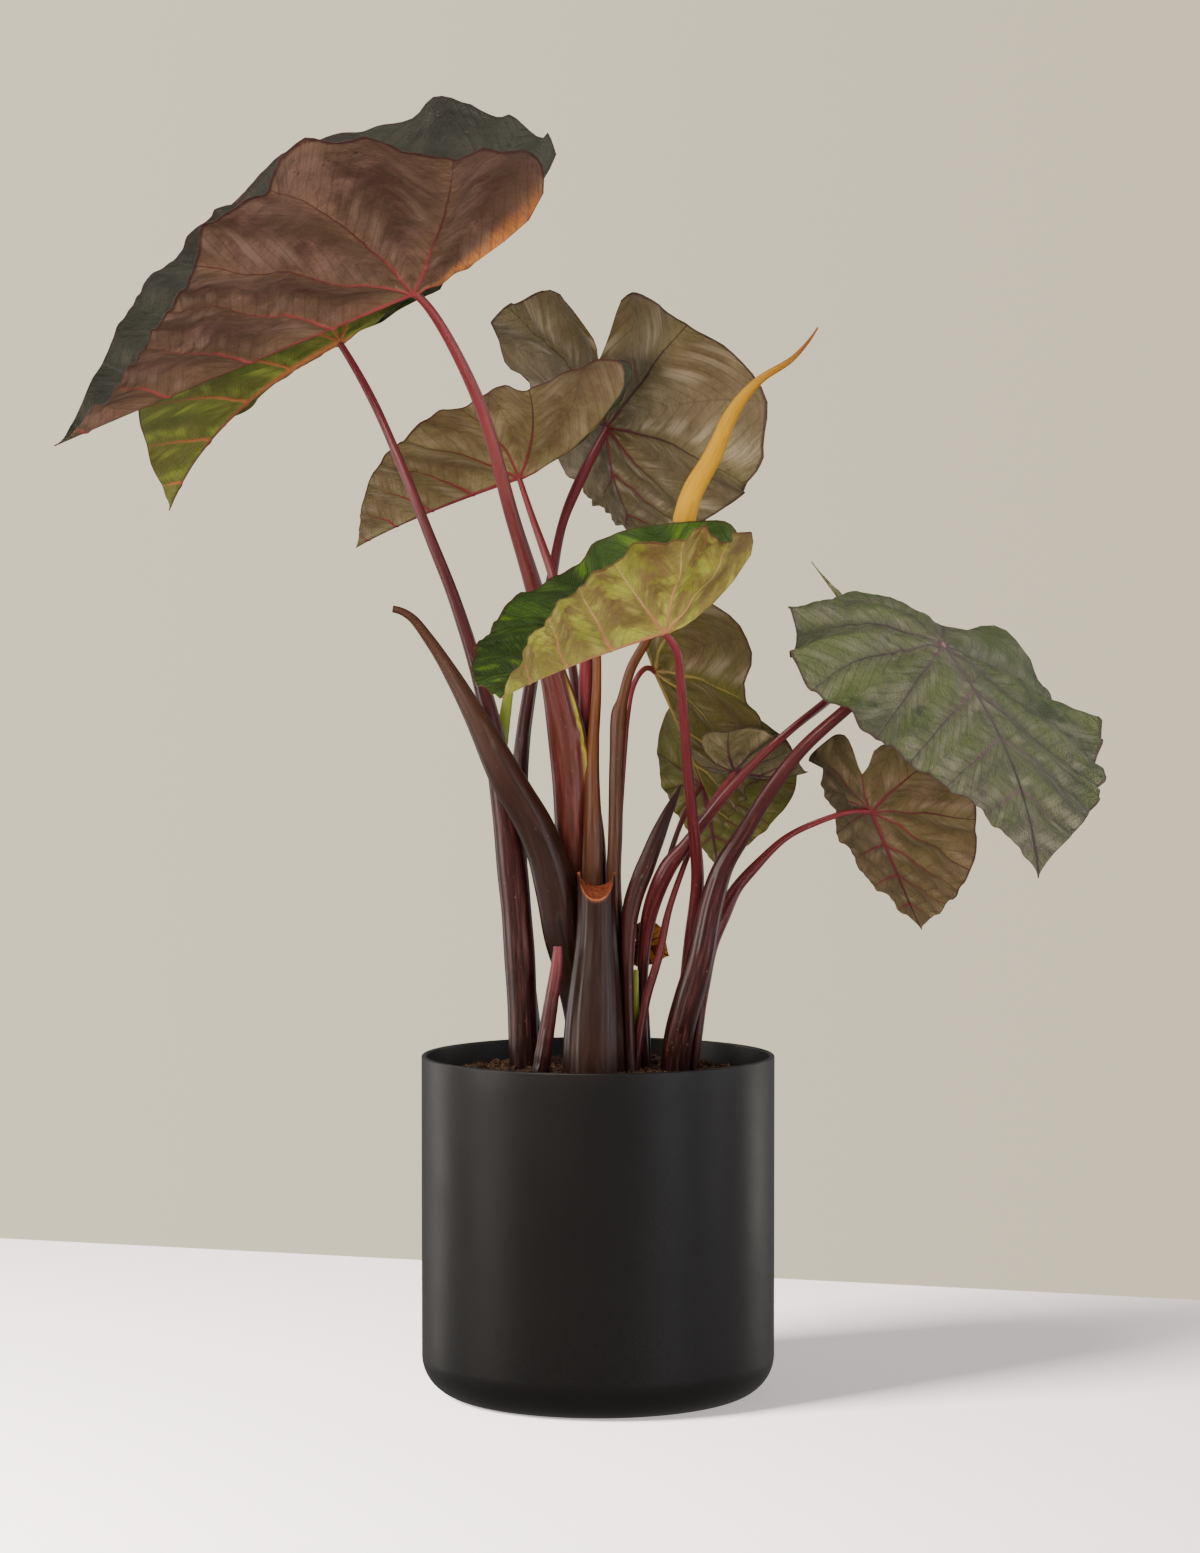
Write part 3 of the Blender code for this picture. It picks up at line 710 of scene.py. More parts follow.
@dataclass(frozen=True)
class Blade:
    """A heart-shaped blade.  Lengths in mm over the soil's top, angles in degrees.

    joint is where the stalk meets it.  heading and pitch aim the tip; roll leans the
    blade towards its left half.  length runs from the joint to the tip, lobe from the
    joint to the back of the lobes.  fold is how far each half (left, right) rises from
    the midrib and curl how much it goes on bending on its way out; fold_tip and
    fold_lobe change the fold towards the two ends.  droop bends the tip down, lift
    bends the lobes up, twist turns the blade about its midrib and sweep curves the
    midrib sideways.  left and right are the widths of the halves and notch is the gap
    between the joint and the inner end of the notch.  ribs is how many side ribs leave
    each side of the midrib, quilt how far the lamina swells between them, as a share of
    their gap, ruffle the height of the margin's waves and scallop the depth of its bays
    as a share of the width.  Each half is a grid of columns to a rib gap and rows from
    the midrib to the margin.
    """
    name: str
    slot: str
    joint: tuple[float, float, float]
    heading: float
    pitch: float
    roll: float
    length: float
    lobe: float
    left: float
    right: float
    notch: float
    fold: tuple[float, float]
    upper: LeafFinish
    under: LeafFinish
    curl: tuple[float, float] = (0, 0)
    droop: float = 0
    lift: float = 0
    fold_tip: tuple[float, float] = (0, 0)
    fold_lobe: tuple[float, float] = (0, 0)
    twist: float = 0
    sweep: float = 0
    ribs: float = 4.6
    quilt: float = 0.085
    ruffle: float = 3.0
    scallop: float = 0.016
    thickness: float = 0.7
    columns: int = 22
    rows: int = 46
    seed: int = 1

    rib_angle: ClassVar[float] = radians(54)
    rib_bend: ClassVar[float] = 0.26
    back_ribs: ClassVar[int] = 3
    crease_share: ClassVar[float] = 0.03

    def outline(self, width: float, count: int = 401) -> np.ndarray:
        """Flat outline of one half, a smooth curve from the tip back to the notch.

        Args:
            width: the half's greatest width.
            count: how many points to return.

        Returns:
            Rows of x, along the midrib, and y, away from it.
        """
        length, lobe, notch = self.length, self.lobe, self.notch
        return smooth_route((
            (length, 0, 0), (0.93 * length, 0.06 * width, 0),
            (0.80 * length, 0.25 * width, 0), (0.60 * length, 0.55 * width, 0),
            (0.36 * length, 0.82 * width, 0), (0.12 * length, 0.97 * width, 0),
            (-0.15 * lobe, width, 0), (-0.45 * lobe, 0.91 * width, 0),
            (-0.74 * lobe, 0.70 * width, 0), (-0.94 * lobe, 0.43 * width, 0),
            (-lobe, 0.26 * width, 0), (-0.93 * lobe, 0.14 * width, 0),
            (-0.70 * lobe, 0.068 * width, 0),
            (-(0.21 * lobe + 0.70 * notch), 0.023 * width, 0), (-notch, 0, 0)),
            count)[:, :2]

    def axes(self) -> np.ndarray:
        """Unit vectors along the tip, towards the left half and out of the upper face.

        Returns:
            The three vectors, one row each.
        """
        heading, pitch, roll = radians(self.heading), radians(self.pitch), radians(self.roll)
        tip = np.array([np.cos(pitch) * np.cos(heading), np.cos(pitch) * np.sin(heading),
                        np.sin(pitch)])
        flat_up = np.array([0.0, 0.0, 1.0]) - tip * tip[2]
        flat_up /= np.linalg.norm(flat_up)
        up = flat_up * np.cos(roll) + np.cross(flat_up, tip) * np.sin(roll)
        return np.stack([tip, np.cross(up, tip), up])

    def bend(self, x: np.ndarray, y: np.ndarray, half: Half) -> np.ndarray:
        """Bend flat points (x along the midrib, y away from it) about the joint.

        The midrib is the running sum of a direction that turns with droop, lift and
        sweep.  Each half leaves it at its fold and bends on as an arc of its curl; the
        fold grows from nothing at the midrib, so the crease is round.

        Args:
            x: way along the midrib from the joint.
            y: distance from the midrib.
            half: which half of the blade.

        Returns:
            Positions along the blade's own axes.
        """
        along = np.linspace(-1.4 * self.lobe, 1.02 * self.length, 241)
        front = np.clip(along, 0, None) / self.length
        rear = np.clip(-along, 0, None) / self.lobe
        slope = -radians(self.droop) * front ** 1.3 - radians(self.lift) * rear
        turn = radians(self.sweep) * front
        step = along[1] - along[0]

        def run(rate: np.ndarray) -> np.ndarray:
            """Running sum of a direction along the midrib, zero at the joint."""
            total = np.concatenate([[0.0], np.cumsum((rate[1:] + rate[:-1]) / 2) * step])
            return total - np.interp(0, along, total)

        midrib = np.stack([np.interp(x, along, run(f)) for f in (
            np.cos(slope) * np.cos(turn), np.cos(slope) * np.sin(turn), np.sin(slope))], -1)
        slope, turn = np.interp(x, along, slope), np.interp(x, along, turn)
        ahead = np.stack([np.cos(slope) * np.cos(turn), np.cos(slope) * np.sin(turn),
                          np.sin(slope)], -1)
        across = np.stack([-np.sin(turn), np.cos(turn), 0 * turn], -1)
        out = np.cross(ahead, across)
        twist = (radians(self.twist) * x / self.length)[..., None]
        across, out = (across * np.cos(twist) + out * np.sin(twist),
                       out * np.cos(twist) - across * np.sin(twist))
        side = 0 if half is Half.LEFT else 1
        tipward, lobeward = np.clip(x / self.length, 0, 1), np.clip(-x / self.lobe, 0, 1)
        fold = np.radians(self.fold[side] + self.fold_tip[side] * tipward
                          + self.fold_lobe[side] * lobeward)
        crease = self.crease_share * (self.left + self.right) / 2
        fold = fold * (1 - np.exp(-(y / crease) ** 2))
        rate = radians(self.curl[side] / (self.left, self.right)[side])
        half_turn = rate * y / 2
        chord = y * np.sinc(half_turn / pi)
        return (midrib + (half.value * chord * np.cos(fold + half_turn))[..., None] * across
                + (chord * np.sin(fold + half_turn))[..., None] * out)

    def columns_and_rows(self) -> tuple[np.ndarray, np.ndarray]:
        """Rib numbers of the columns, close together at the ribs, and the row shares.

        Rib 0 leaves the joint, higher ones leave the midrib, lower ones fan back from
        the joint.  Between two ribs the columns follow half a cosine wave.

        Returns:
            The columns' rib numbers and the rows' shares of the way to the margin.
        """
        u = np.arange(self.columns) / self.columns
        packed = 0.3 * u + 0.7 * (0.5 - 0.5 * np.cos(pi * u))
        whole = int(np.ceil(self.ribs))
        numbers = (np.arange(-self.back_ribs, whole)[:, None] + packed).ravel()
        numbers = np.append(numbers[numbers < self.ribs - 0.02], self.ribs)[::-1]
        v = np.linspace(0, 1, self.rows)
        return numbers, 0.4 * v + 0.6 * (0.5 - 0.5 * np.cos(pi * v))

    def half_grid(self, half: Half) -> dict[str, np.ndarray]:
        """Lay one half out on a grid whose columns follow the ribs.

        A rib that leaves the midrib at s runs through x = s + y cot(angle) + bend y² /
        width; behind the joint it is a ray with the same bend.  So with x' = x - bend y² /
        width a column is a straight line from its foot to the margin.

        Args:
            half: which half of the blade.

        Returns:
            Flat x and y, rib number, way along the rib, gap between ribs, share of the
            way out and margin length from rib to rib, all as columns by rows.
        """
        width = self.left if half is Half.LEFT else self.right
        spacing = self.length / self.ribs
        fan = (pi - self.rib_angle) / self.back_ribs
        rim = self.outline(width)
        bent = rim[:, 0] - self.rib_bend * rim[:, 1] ** 2 / width
        foot = bent - rim[:, 1] / np.tan(self.rib_angle)
        angle = np.arctan2(rim[:, 1], bent)
        number = np.where(foot >= 0, foot / spacing, (self.rib_angle - angle) / fan)
        number = np.minimum.accumulate(number)
        columns, share = self.columns_and_rows()
        rim_x = np.interp(columns, number[::-1], bent[::-1])
        rim_y = np.interp(columns, number[::-1], rim[::-1, 1])
        start = np.clip(columns, 0, None) * spacing
        notched = 1 + self.scallop * (0.5 - 0.5 * np.cos(2 * pi * columns) + 0.5 * np.sin(
            5.3 * columns + self.seed + half.value))
        reach = 1 + (notched - 1)[:, None] * share ** 6
        x = start[:, None] + share * (rim_x - start)[:, None] * reach
        y = share * rim_y[:, None] * reach
        way = np.hypot(x - start[:, None], y)
        pace = np.hypot(np.gradient(rim_x, columns), np.gradient(rim_y, columns))
        gap = np.where(columns[:, None] >= 0, spacing * np.sin(self.rib_angle), way * fan)
        return {"x": x + self.rib_bend * y ** 2 / width, "y": y, "way": way,
                "number": columns[:, None] + 0 * x, "gap": gap, "share": share + 0 * x,
                "pace": pace[:, None] + 0 * x}

    def relief(self, flat: dict[str, np.ndarray], half: Half) -> np.ndarray:
        """Height of the lamina over its smooth form, in mm.

        Between ribs it swells as one minus a cosine, on a broad and a fine unevenness,
        and towards the margin it ripples as sines of the rib number.

        Args:
            flat: the half's grid, as half_grid gives it.
            half: which half of the blade.

        Returns:
            The height at each point of the grid.
        """
        number, share = flat["number"], flat["share"]
        seat = np.stack([flat["x"], flat["y"] * half.value], -1)
        size = (self.left + self.right + self.length) / 400
        swell = self.quilt * flat["gap"] * (0.5 - 0.5 * np.cos(2 * pi * number))
        swell = swell * ease(0, 16, flat["y"] + np.clip(-flat["x"], 0, None))
        roomy = np.clip(flat["pace"] / (0.33 * self.length), 0.0, 1.0) ** 1.7
        swell = swell * (1 - share * (1 - roomy))
        phase = self.seed * 1.7 + half.value
        wave = (np.sin(2 * pi * 1.0 * number + phase)
                + 0.6 * np.sin(2 * pi * 2.1 * number + 2 * phase)
                + 0.35 * np.sin(2 * pi * 3.7 * number + 3 * phase))
        calm = ease(0, 0.18, 1 - np.abs(flat["x"]) / np.where(
            flat["x"] > 0, self.length, 1.1 * self.lobe))
        edge = self.ruffle * share ** 3.5 * wave * (0.35 + 0.65 * calm)
        edge = edge * roomy * ease(0, 8, flat["y"])
        broad = 2.1 * size * ripple(seat, 50 * size, self.seed) * ease(0, 24, flat["way"])
        puckers = 0.5 * size * ripple(seat, 14, self.seed + 5) * ease(0, 10, flat["way"])
        return swell + edge + broad + puckers

    def half_surface(self, half: Half) -> list[Surface]:
        """Both skins of one half and the strip along its margin, with their marks.

        Args:
            half: which half of the blade.

        Returns:
            The upper face, the under face and the strip along the margin.
        """
        flat = self.half_grid(half)
        x, y, small = flat["x"], flat["y"], 0.4
        middle = self.bend(x, y, half)
        to_tip = self.bend(x + small, y, half) - middle
        outward = self.bend(x, y + small, half) - middle
        both = self.bend(x, 0 * y + small, Half.LEFT) - self.bend(x, 0 * y + small, Half.RIGHT)
        normal = np.where((y < 1e-6)[..., None], np.cross(to_tip, both),
                          np.cross(to_tip, outward) * half.value)
        normal /= np.linalg.norm(normal, axis=-1)[..., None]
        number, share = flat["number"], flat["share"]
        away = np.abs(number - np.round(number)) * flat["gap"]
        from_mid = np.where(x > 0, y, np.hypot(x, y))
        tipward = np.where(x > 0, x / self.length, x / self.lobe)
        stout = (self.left + self.right) / 260
        rib = np.exp(-(away / (1.1 * stout * (1 - 0.6 * share))) ** 2) * (1 - 0.8 * share)
        mid = np.exp(-(y / (1.9 * stout)) ** 2) * (1 - 0.8 * np.clip(tipward, 0, 1))
        mid = mid * ease(-0.12, 0.0, tipward)
        rise = self.relief(flat, half)
        thin = self.thickness / 2 * (1 - 0.5 * share ** 4)
        heights = {Skin.UPPER: rise + thin - stout * (0.25 * rib + 0.5 * mid),
                   Skin.UNDER: rise - thin - stout * (0.75 * rib + 1.6 * mid)}
        marks = {"Rib": np.stack([number, flat["way"], flat["gap"]], -1).reshape(-1, 3),
                 "Lie": np.stack([from_mid, share, tipward], -1).reshape(-1, 3)}
        columns, rows = x.shape
        squares = grid_faces(columns, rows)
        seats, parts = {}, []
        for skin, height in heights.items():
            seats[skin] = self.placed(middle + normal * height[..., None])
            turned = (skin is Skin.UPPER) == (half is Half.LEFT)
            faces = squares[:, ::-1] if turned else squares
            parts.append(Surface(seats[skin].reshape(-1, 3), faces, marks,
                                 np.full(len(faces), skin.value)))
        rim = np.stack([seats[Skin.UPPER][:, -1], seats[Skin.UNDER][:, -1]], 1)
        rim_faces = grid_faces(columns, 2)
        rim_marks = {key: np.repeat(value.reshape(columns, rows, 3)[:, -1], 2, axis=0)
                     for key, value in marks.items()}
        rim_faces = rim_faces[:, ::-1] if half is Half.LEFT else rim_faces
        parts.append(Surface(rim.reshape(-1, 3), rim_faces, rim_marks,
                             np.full(len(rim_faces), Skin.UNDER.value)))
        return parts

    def placed(self, local: np.ndarray) -> np.ndarray:
        """Move points from the blade's own axes into the frame, in metres."""
        return (np.array(self.joint) + local @ self.axes()) * MM + np.array(
            [0, 0, SOIL_TOP])

    def build(self) -> bpy.types.Object:
        """Make the blade and dress its two faces.

        Returns:
            The finished piece.
        """
        surface = Surface.joined(self.half_surface(Half.LEFT)
                                 + self.half_surface(Half.RIGHT))
        made = surface.make(self.name + "_blade", (
            self.upper.make(self.name + "_upper"), self.under.make(self.name + "_under")))
        return settle(made, self.name)


# --------------------------------------------------------------------------- stems


@dataclass(frozen=True)
class Stem:
    """A stalk: route rows of x, y, height over the soil and radius, in mm.

    sheath is the stretch (from, to, as shares of the length) where the stalk is wrapped
    in its own sheath, lip how far the sheath's free edge stands proud, as a share of the
    radius, and turn where that edge faces, in degrees from the right, counted towards
    the back.  spin is how far the edge winds over the whole length and jag how ragged it
    is, in radians.  flat squeezes the cross-section front to back, and ridge is the
    height of the lengthwise ridges as a share of the radius.
    """
    name: str
    slot: str
    route: Route
    finish: StemFinish
    sheath: tuple[float, float] = (0.0, 0.35)
    lip: float = 0.10
    turn: float = 250.0
    spin: float = 50.0
    flat: float = 1.0
    ridge: float = 0.012
    around: int = 40
    rings: int = 110
    jag: float = 0.0
    seed: int = 1

    def frames(self, line: np.ndarray) -> tuple[np.ndarray, np.ndarray]:
        """Two directions across the route at each ring, kept level with the ground.

        The first is the route's direction crossed with the depth axis, the second
        completes the square, so neither spins on its way along.

        Args:
            line: the route's rows.

        Returns:
            The two directions, one row for each ring.
        """
        ahead = np.gradient(line[:, :3], axis=0)
        ahead /= np.linalg.norm(ahead, axis=1)[:, None]
        right = np.cross(np.array([0.0, 1.0, 0.0]), ahead)
        right /= np.linalg.norm(right, axis=1)[:, None]
        return right, np.cross(ahead, right)

    def radius(self, share: np.ndarray, angle: np.ndarray) -> np.ndarray:
        """Relative radius over the length and round the stalk.

        A saw-tooth round the stalk makes the sheath's free edge; it fades in and out
        over the sheathed stretch and slowly winds.  Small sines make lengthwise ridges.

        Args:
            share: share of the way along the stalk.
            angle: way round it, in radians.

        Returns:
            The radius as a share of the route's.
        """
        low, high = self.sheath
        fade = ease(low - 0.04, low + 0.02, share) * (1 - ease(high - 0.05, high, share))
        edge = radians(self.turn) + radians(self.spin) * (share - low)
        if self.jag:
            edge = edge + self.jag * ripple(share[..., None] * 100, 3.0, self.seed)
        turn = np.mod(angle - edge, 2 * pi) / (2 * pi)
        saw = self.lip * (1 - turn) ** 3
        ridges = self.ridge * (np.sin(7 * angle + 3 * share) + np.sin(
            13 * angle + self.seed + 5 * share)) * 0.6
        uneven = 0.02 * ripple(share[..., None] * 10, 1.6, self.seed + 3)
        return 1 + fade * saw + ridges + uneven

    def surface(self) -> Surface:
        """Carry the cross-section along the route and close both ends.

        Returns:
            The closed surface, with its marks.
        """
        line = smooth_route(self.route, self.rings)
        right, back = self.frames(line)
        way = np.concatenate([[0.0], np.cumsum(np.linalg.norm(
            np.diff(line[:, :3], axis=0), axis=1))])
        share = way / way[-1]
        angle = np.linspace(0, 2 * pi, self.around, endpoint=False)
        a, s = np.meshgrid(angle, share, indexing="ij")
        reach = self.radius(s, a) * line[:, 3]
        spots = (line[:, :3] + (reach * np.cos(a))[..., None] * right
                 + (reach * self.flat * np.sin(a))[..., None] * back)
        low, high = self.sheath
        edge = radians(self.turn) + radians(self.spin) * (s - low)
        near = np.exp(-(np.mod(a - edge, 2 * pi) * line[:, 3] / 0.9) ** 2)
        near = near * (s > low) * (1 - ease(high - 0.05, high, s))
        along = way / 20.0 + 0 * a
        grain = np.stack([np.cos(a), np.sin(a), along], -1)
        rise = np.stack([s, near, way + 0 * a], -1)
        ends = []
        for grid in (spots, grain, rise):
            first = grid[:, :1].mean(0, keepdims=True) + 0 * grid[:, :1]
            last = grid[:, -1:].mean(0, keepdims=True) + 0 * grid[:, -1:]
            ends.append(np.concatenate([first, grid, last], axis=1))
        spots, grain, rise = ends
        faces = grid_faces(self.around, self.rings + 2, closed=True)
        world = spots.reshape(-1, 3) * MM + np.array([0, 0, SOIL_TOP])
        return Surface(world, faces, {"Grain": grain.reshape(-1, 3),
                                      "Rise": rise.reshape(-1, 3)})

    def build(self) -> bpy.types.Object:
        """Make the stalk and dress it.

        Returns:
            The finished piece.
        """
        made = self.surface().make(self.name + "_stem", (
            self.finish.make(self.name + "_skin"),), sharp=70)
        return settle(made, self.name)


@dataclass(frozen=True)
class CutStub:
    """The thick cut stem in front: its top is scooped by a round cut that climbs back.

    Lengths in mm.  The cut is a round bar's groove of radius cut_radius, cut_depth deep at
    the front and climbing towards the back at cut_slope degrees.
    """
    route: Route
    height: float = 142
    cut_radius: float = 11.5
    cut_depth: float = 18
    cut_slope: float = 17
    around: int = 120
    rings: int = 70
    spokes: int = 26
    skin: StemFinish = StemFinish("24130e", "1d0e0b", "1f100d", "2e1a14", "9a5834", 0.9,
                                  0.3, 0.1, "46302a")
    flesh: CrumbFinish = CrumbFinish("5e2a1a", "94583a", 420.0)

    def top_height(self, x: np.ndarray, y: np.ndarray, top: np.ndarray) -> np.ndarray:
        """Height of the cut top: the lower of the flat top and the groove's floor.

        The groove's floor is its middle, plus the climb, less the root of the radius
        squared minus the sideways distance squared over the slope's cosine.

        Args:
            x: places across.
            y: places towards the back.
            top: the top's middle, height and radius.

        Returns:
            The height at each place.
        """
        across = np.clip(np.abs(x - top[0]), 0, self.cut_radius)
        slope = radians(self.cut_slope)
        middle = top[2] - self.cut_depth + self.cut_radius + top[3] * np.tan(slope)
        floor = (middle + (y - top[1]) * np.tan(slope)
                 - np.sqrt(self.cut_radius ** 2 - across ** 2) / np.cos(slope))
        return np.where(np.abs(x - top[0]) < self.cut_radius, np.minimum(floor, top[2]),
                        top[2])

    def build(self) -> bpy.types.Object:
        """Raise the wall to the cut, close it with the hollowed top, and dress both.

        Returns:
            The finished piece.
        """
        line = smooth_route(self.route, 40)
        top = line[-1].copy()
        top[2] = self.height
        line = np.vstack([line, top])
        angle = np.linspace(0, 2 * pi, self.around, endpoint=False)[:, None]
        share = np.linspace(0, 1, self.rings)[None]
        ridges = 1 + 0.012 * np.sin(6 * angle + 1.0) + 0.007 * np.sin(17 * angle)
        rim_x = top[0] + top[3] * ridges * np.cos(angle)
        rim_y = top[1] + top[3] * ridges * np.sin(angle)
        rim_z = self.top_height(rim_x, rim_y, top)
        z = share * rim_z
        centre_x = np.interp(z, line[:, 2], line[:, 0])
        centre_y = np.interp(z, line[:, 2], line[:, 1])
        reach = np.interp(z, line[:, 2], line[:, 3]) * ridges
        uneven = 1 + 0.02 * np.sin(z / 17.0 + 2 * np.sin(angle))
        wall = np.stack([centre_x + reach * uneven * np.cos(angle),
                         centre_y + reach * uneven * np.sin(angle), z], -1)
        out = np.linspace(1, 0, self.spokes)[None] ** 0.8
        x = top[0] + out * (wall[:, -1:, 0] - top[0])
        y = top[1] + out * (wall[:, -1:, 1] - top[1])
        crown = self.top_height(x, y, top) - 0.5 * (1 - out ** 6)
        crown[:, 0] = wall[:, -1, 2]
        lid = np.stack([x, y, crown], -1)
        base = np.stack([0 * angle + line[0, 0], 0 * angle + line[0, 1], 0 * angle], -1)
        spots = np.concatenate([base, wall, lid], 1)
        rows = spots.shape[1]
        faces = grid_faces(self.around, rows, closed=True)
        ring = np.tile(np.arange(rows - 1), self.around)
        skins = (ring > self.rings).astype(int)
        way = np.minimum(np.arange(rows) / self.rings, 1.0)[None] + 0 * angle
        grain = np.stack([np.cos(angle) + 0 * way, np.sin(angle) + 0 * way,
                          spots[..., 2] / 20.0], -1)
        rise = np.stack([way, np.exp(-((way - 1) / 0.01) ** 2), spots[..., 2]], -1)
        world = spots.reshape(-1, 3) * MM + np.array([0, 0, SOIL_TOP])
        surface = Surface(world, faces, {"Grain": grain.reshape(-1, 3),
                                         "Rise": rise.reshape(-1, 3)}, skins)
        made = surface.make("cut_stub_stem", (self.skin.make("cut_stub_skin"),
                                              self.flesh.make("cut_stub_flesh")), sharp=50)
        return settle(made, "cut_stub")


# ---------------------------------------------------------------------- pot and soil


def arc(centre: tuple[float, float], radius: float, start: float, end: float,
        steps: int) -> np.ndarray:
    """Points of an arc in the (radius, height) plane, angles in degrees.

    Args:
        centre: the arc's centre.
        radius: its radius.
        start: the angle of its first point.
        end: the angle of its last point.
        steps: how many points to return.

    Returns:
        Rows of radius and height.
    """
    angle = np.radians(np.linspace(start, end, steps))
    return np.stack([centre[0] + radius * np.cos(angle),
                     centre[1] + radius * np.sin(angle)], -1)


@dataclass(frozen=True)
class Pot:
    """The turned pot: straight wall, rounded lip, rounded foot.  Lengths in metres."""
    radius: float = POT_HIGH.x
    height: float = POT_HIGH.z
    wall: float = POT_WALL
    floor: float = 0.006
    foot_round: float = 0.028
    lip_round: float = 0.0012
    steps: int = 256

    def profile(self) -> np.ndarray:
        """The section as rows of radius and height, from the inside to the outside.

        Returns:
            Rows of radius and height.
        """
        inner, inner_round = self.radius - self.wall, self.foot_round - self.wall
        lip = self.lip_round
        return np.vstack([
            [[0, self.floor]],
            arc((inner - inner_round, self.floor + inner_round), inner_round, -90, 0, 12),
            arc((inner + lip, self.height - lip), lip, 180, 90, 7),
            arc((self.radius - lip, self.height - lip), lip, 90, 0, 7),
            np.stack([np.full(11, self.radius), np.linspace(
                self.height - lip, self.foot_round, 13)[1:-1]], -1),
            arc((self.radius - self.foot_round, self.foot_round), self.foot_round, 0, -90, 22),
            [[0, 0]]])

    def build(self) -> bpy.types.Object:
        """Turn the section about the upright axis: x = r cos(a), y = r sin(a).

        Returns:
            The finished piece.
        """
        section = self.profile()
        angle = np.linspace(0, 2 * pi, self.steps, endpoint=False)[:, None]
        spots = np.stack([section[:, 0] * np.cos(angle), section[:, 0] * np.sin(angle),
                          section[:, 1] + 0 * angle], -1)
        faces = grid_faces(self.steps, len(section), closed=True)[:, ::-1]
        made = Surface(spots.reshape(-1, 3), faces).make(
            "pot_shell", (PotFinish().make("pot_charcoal"),), sharp=60)
        return settle(made, "pot")


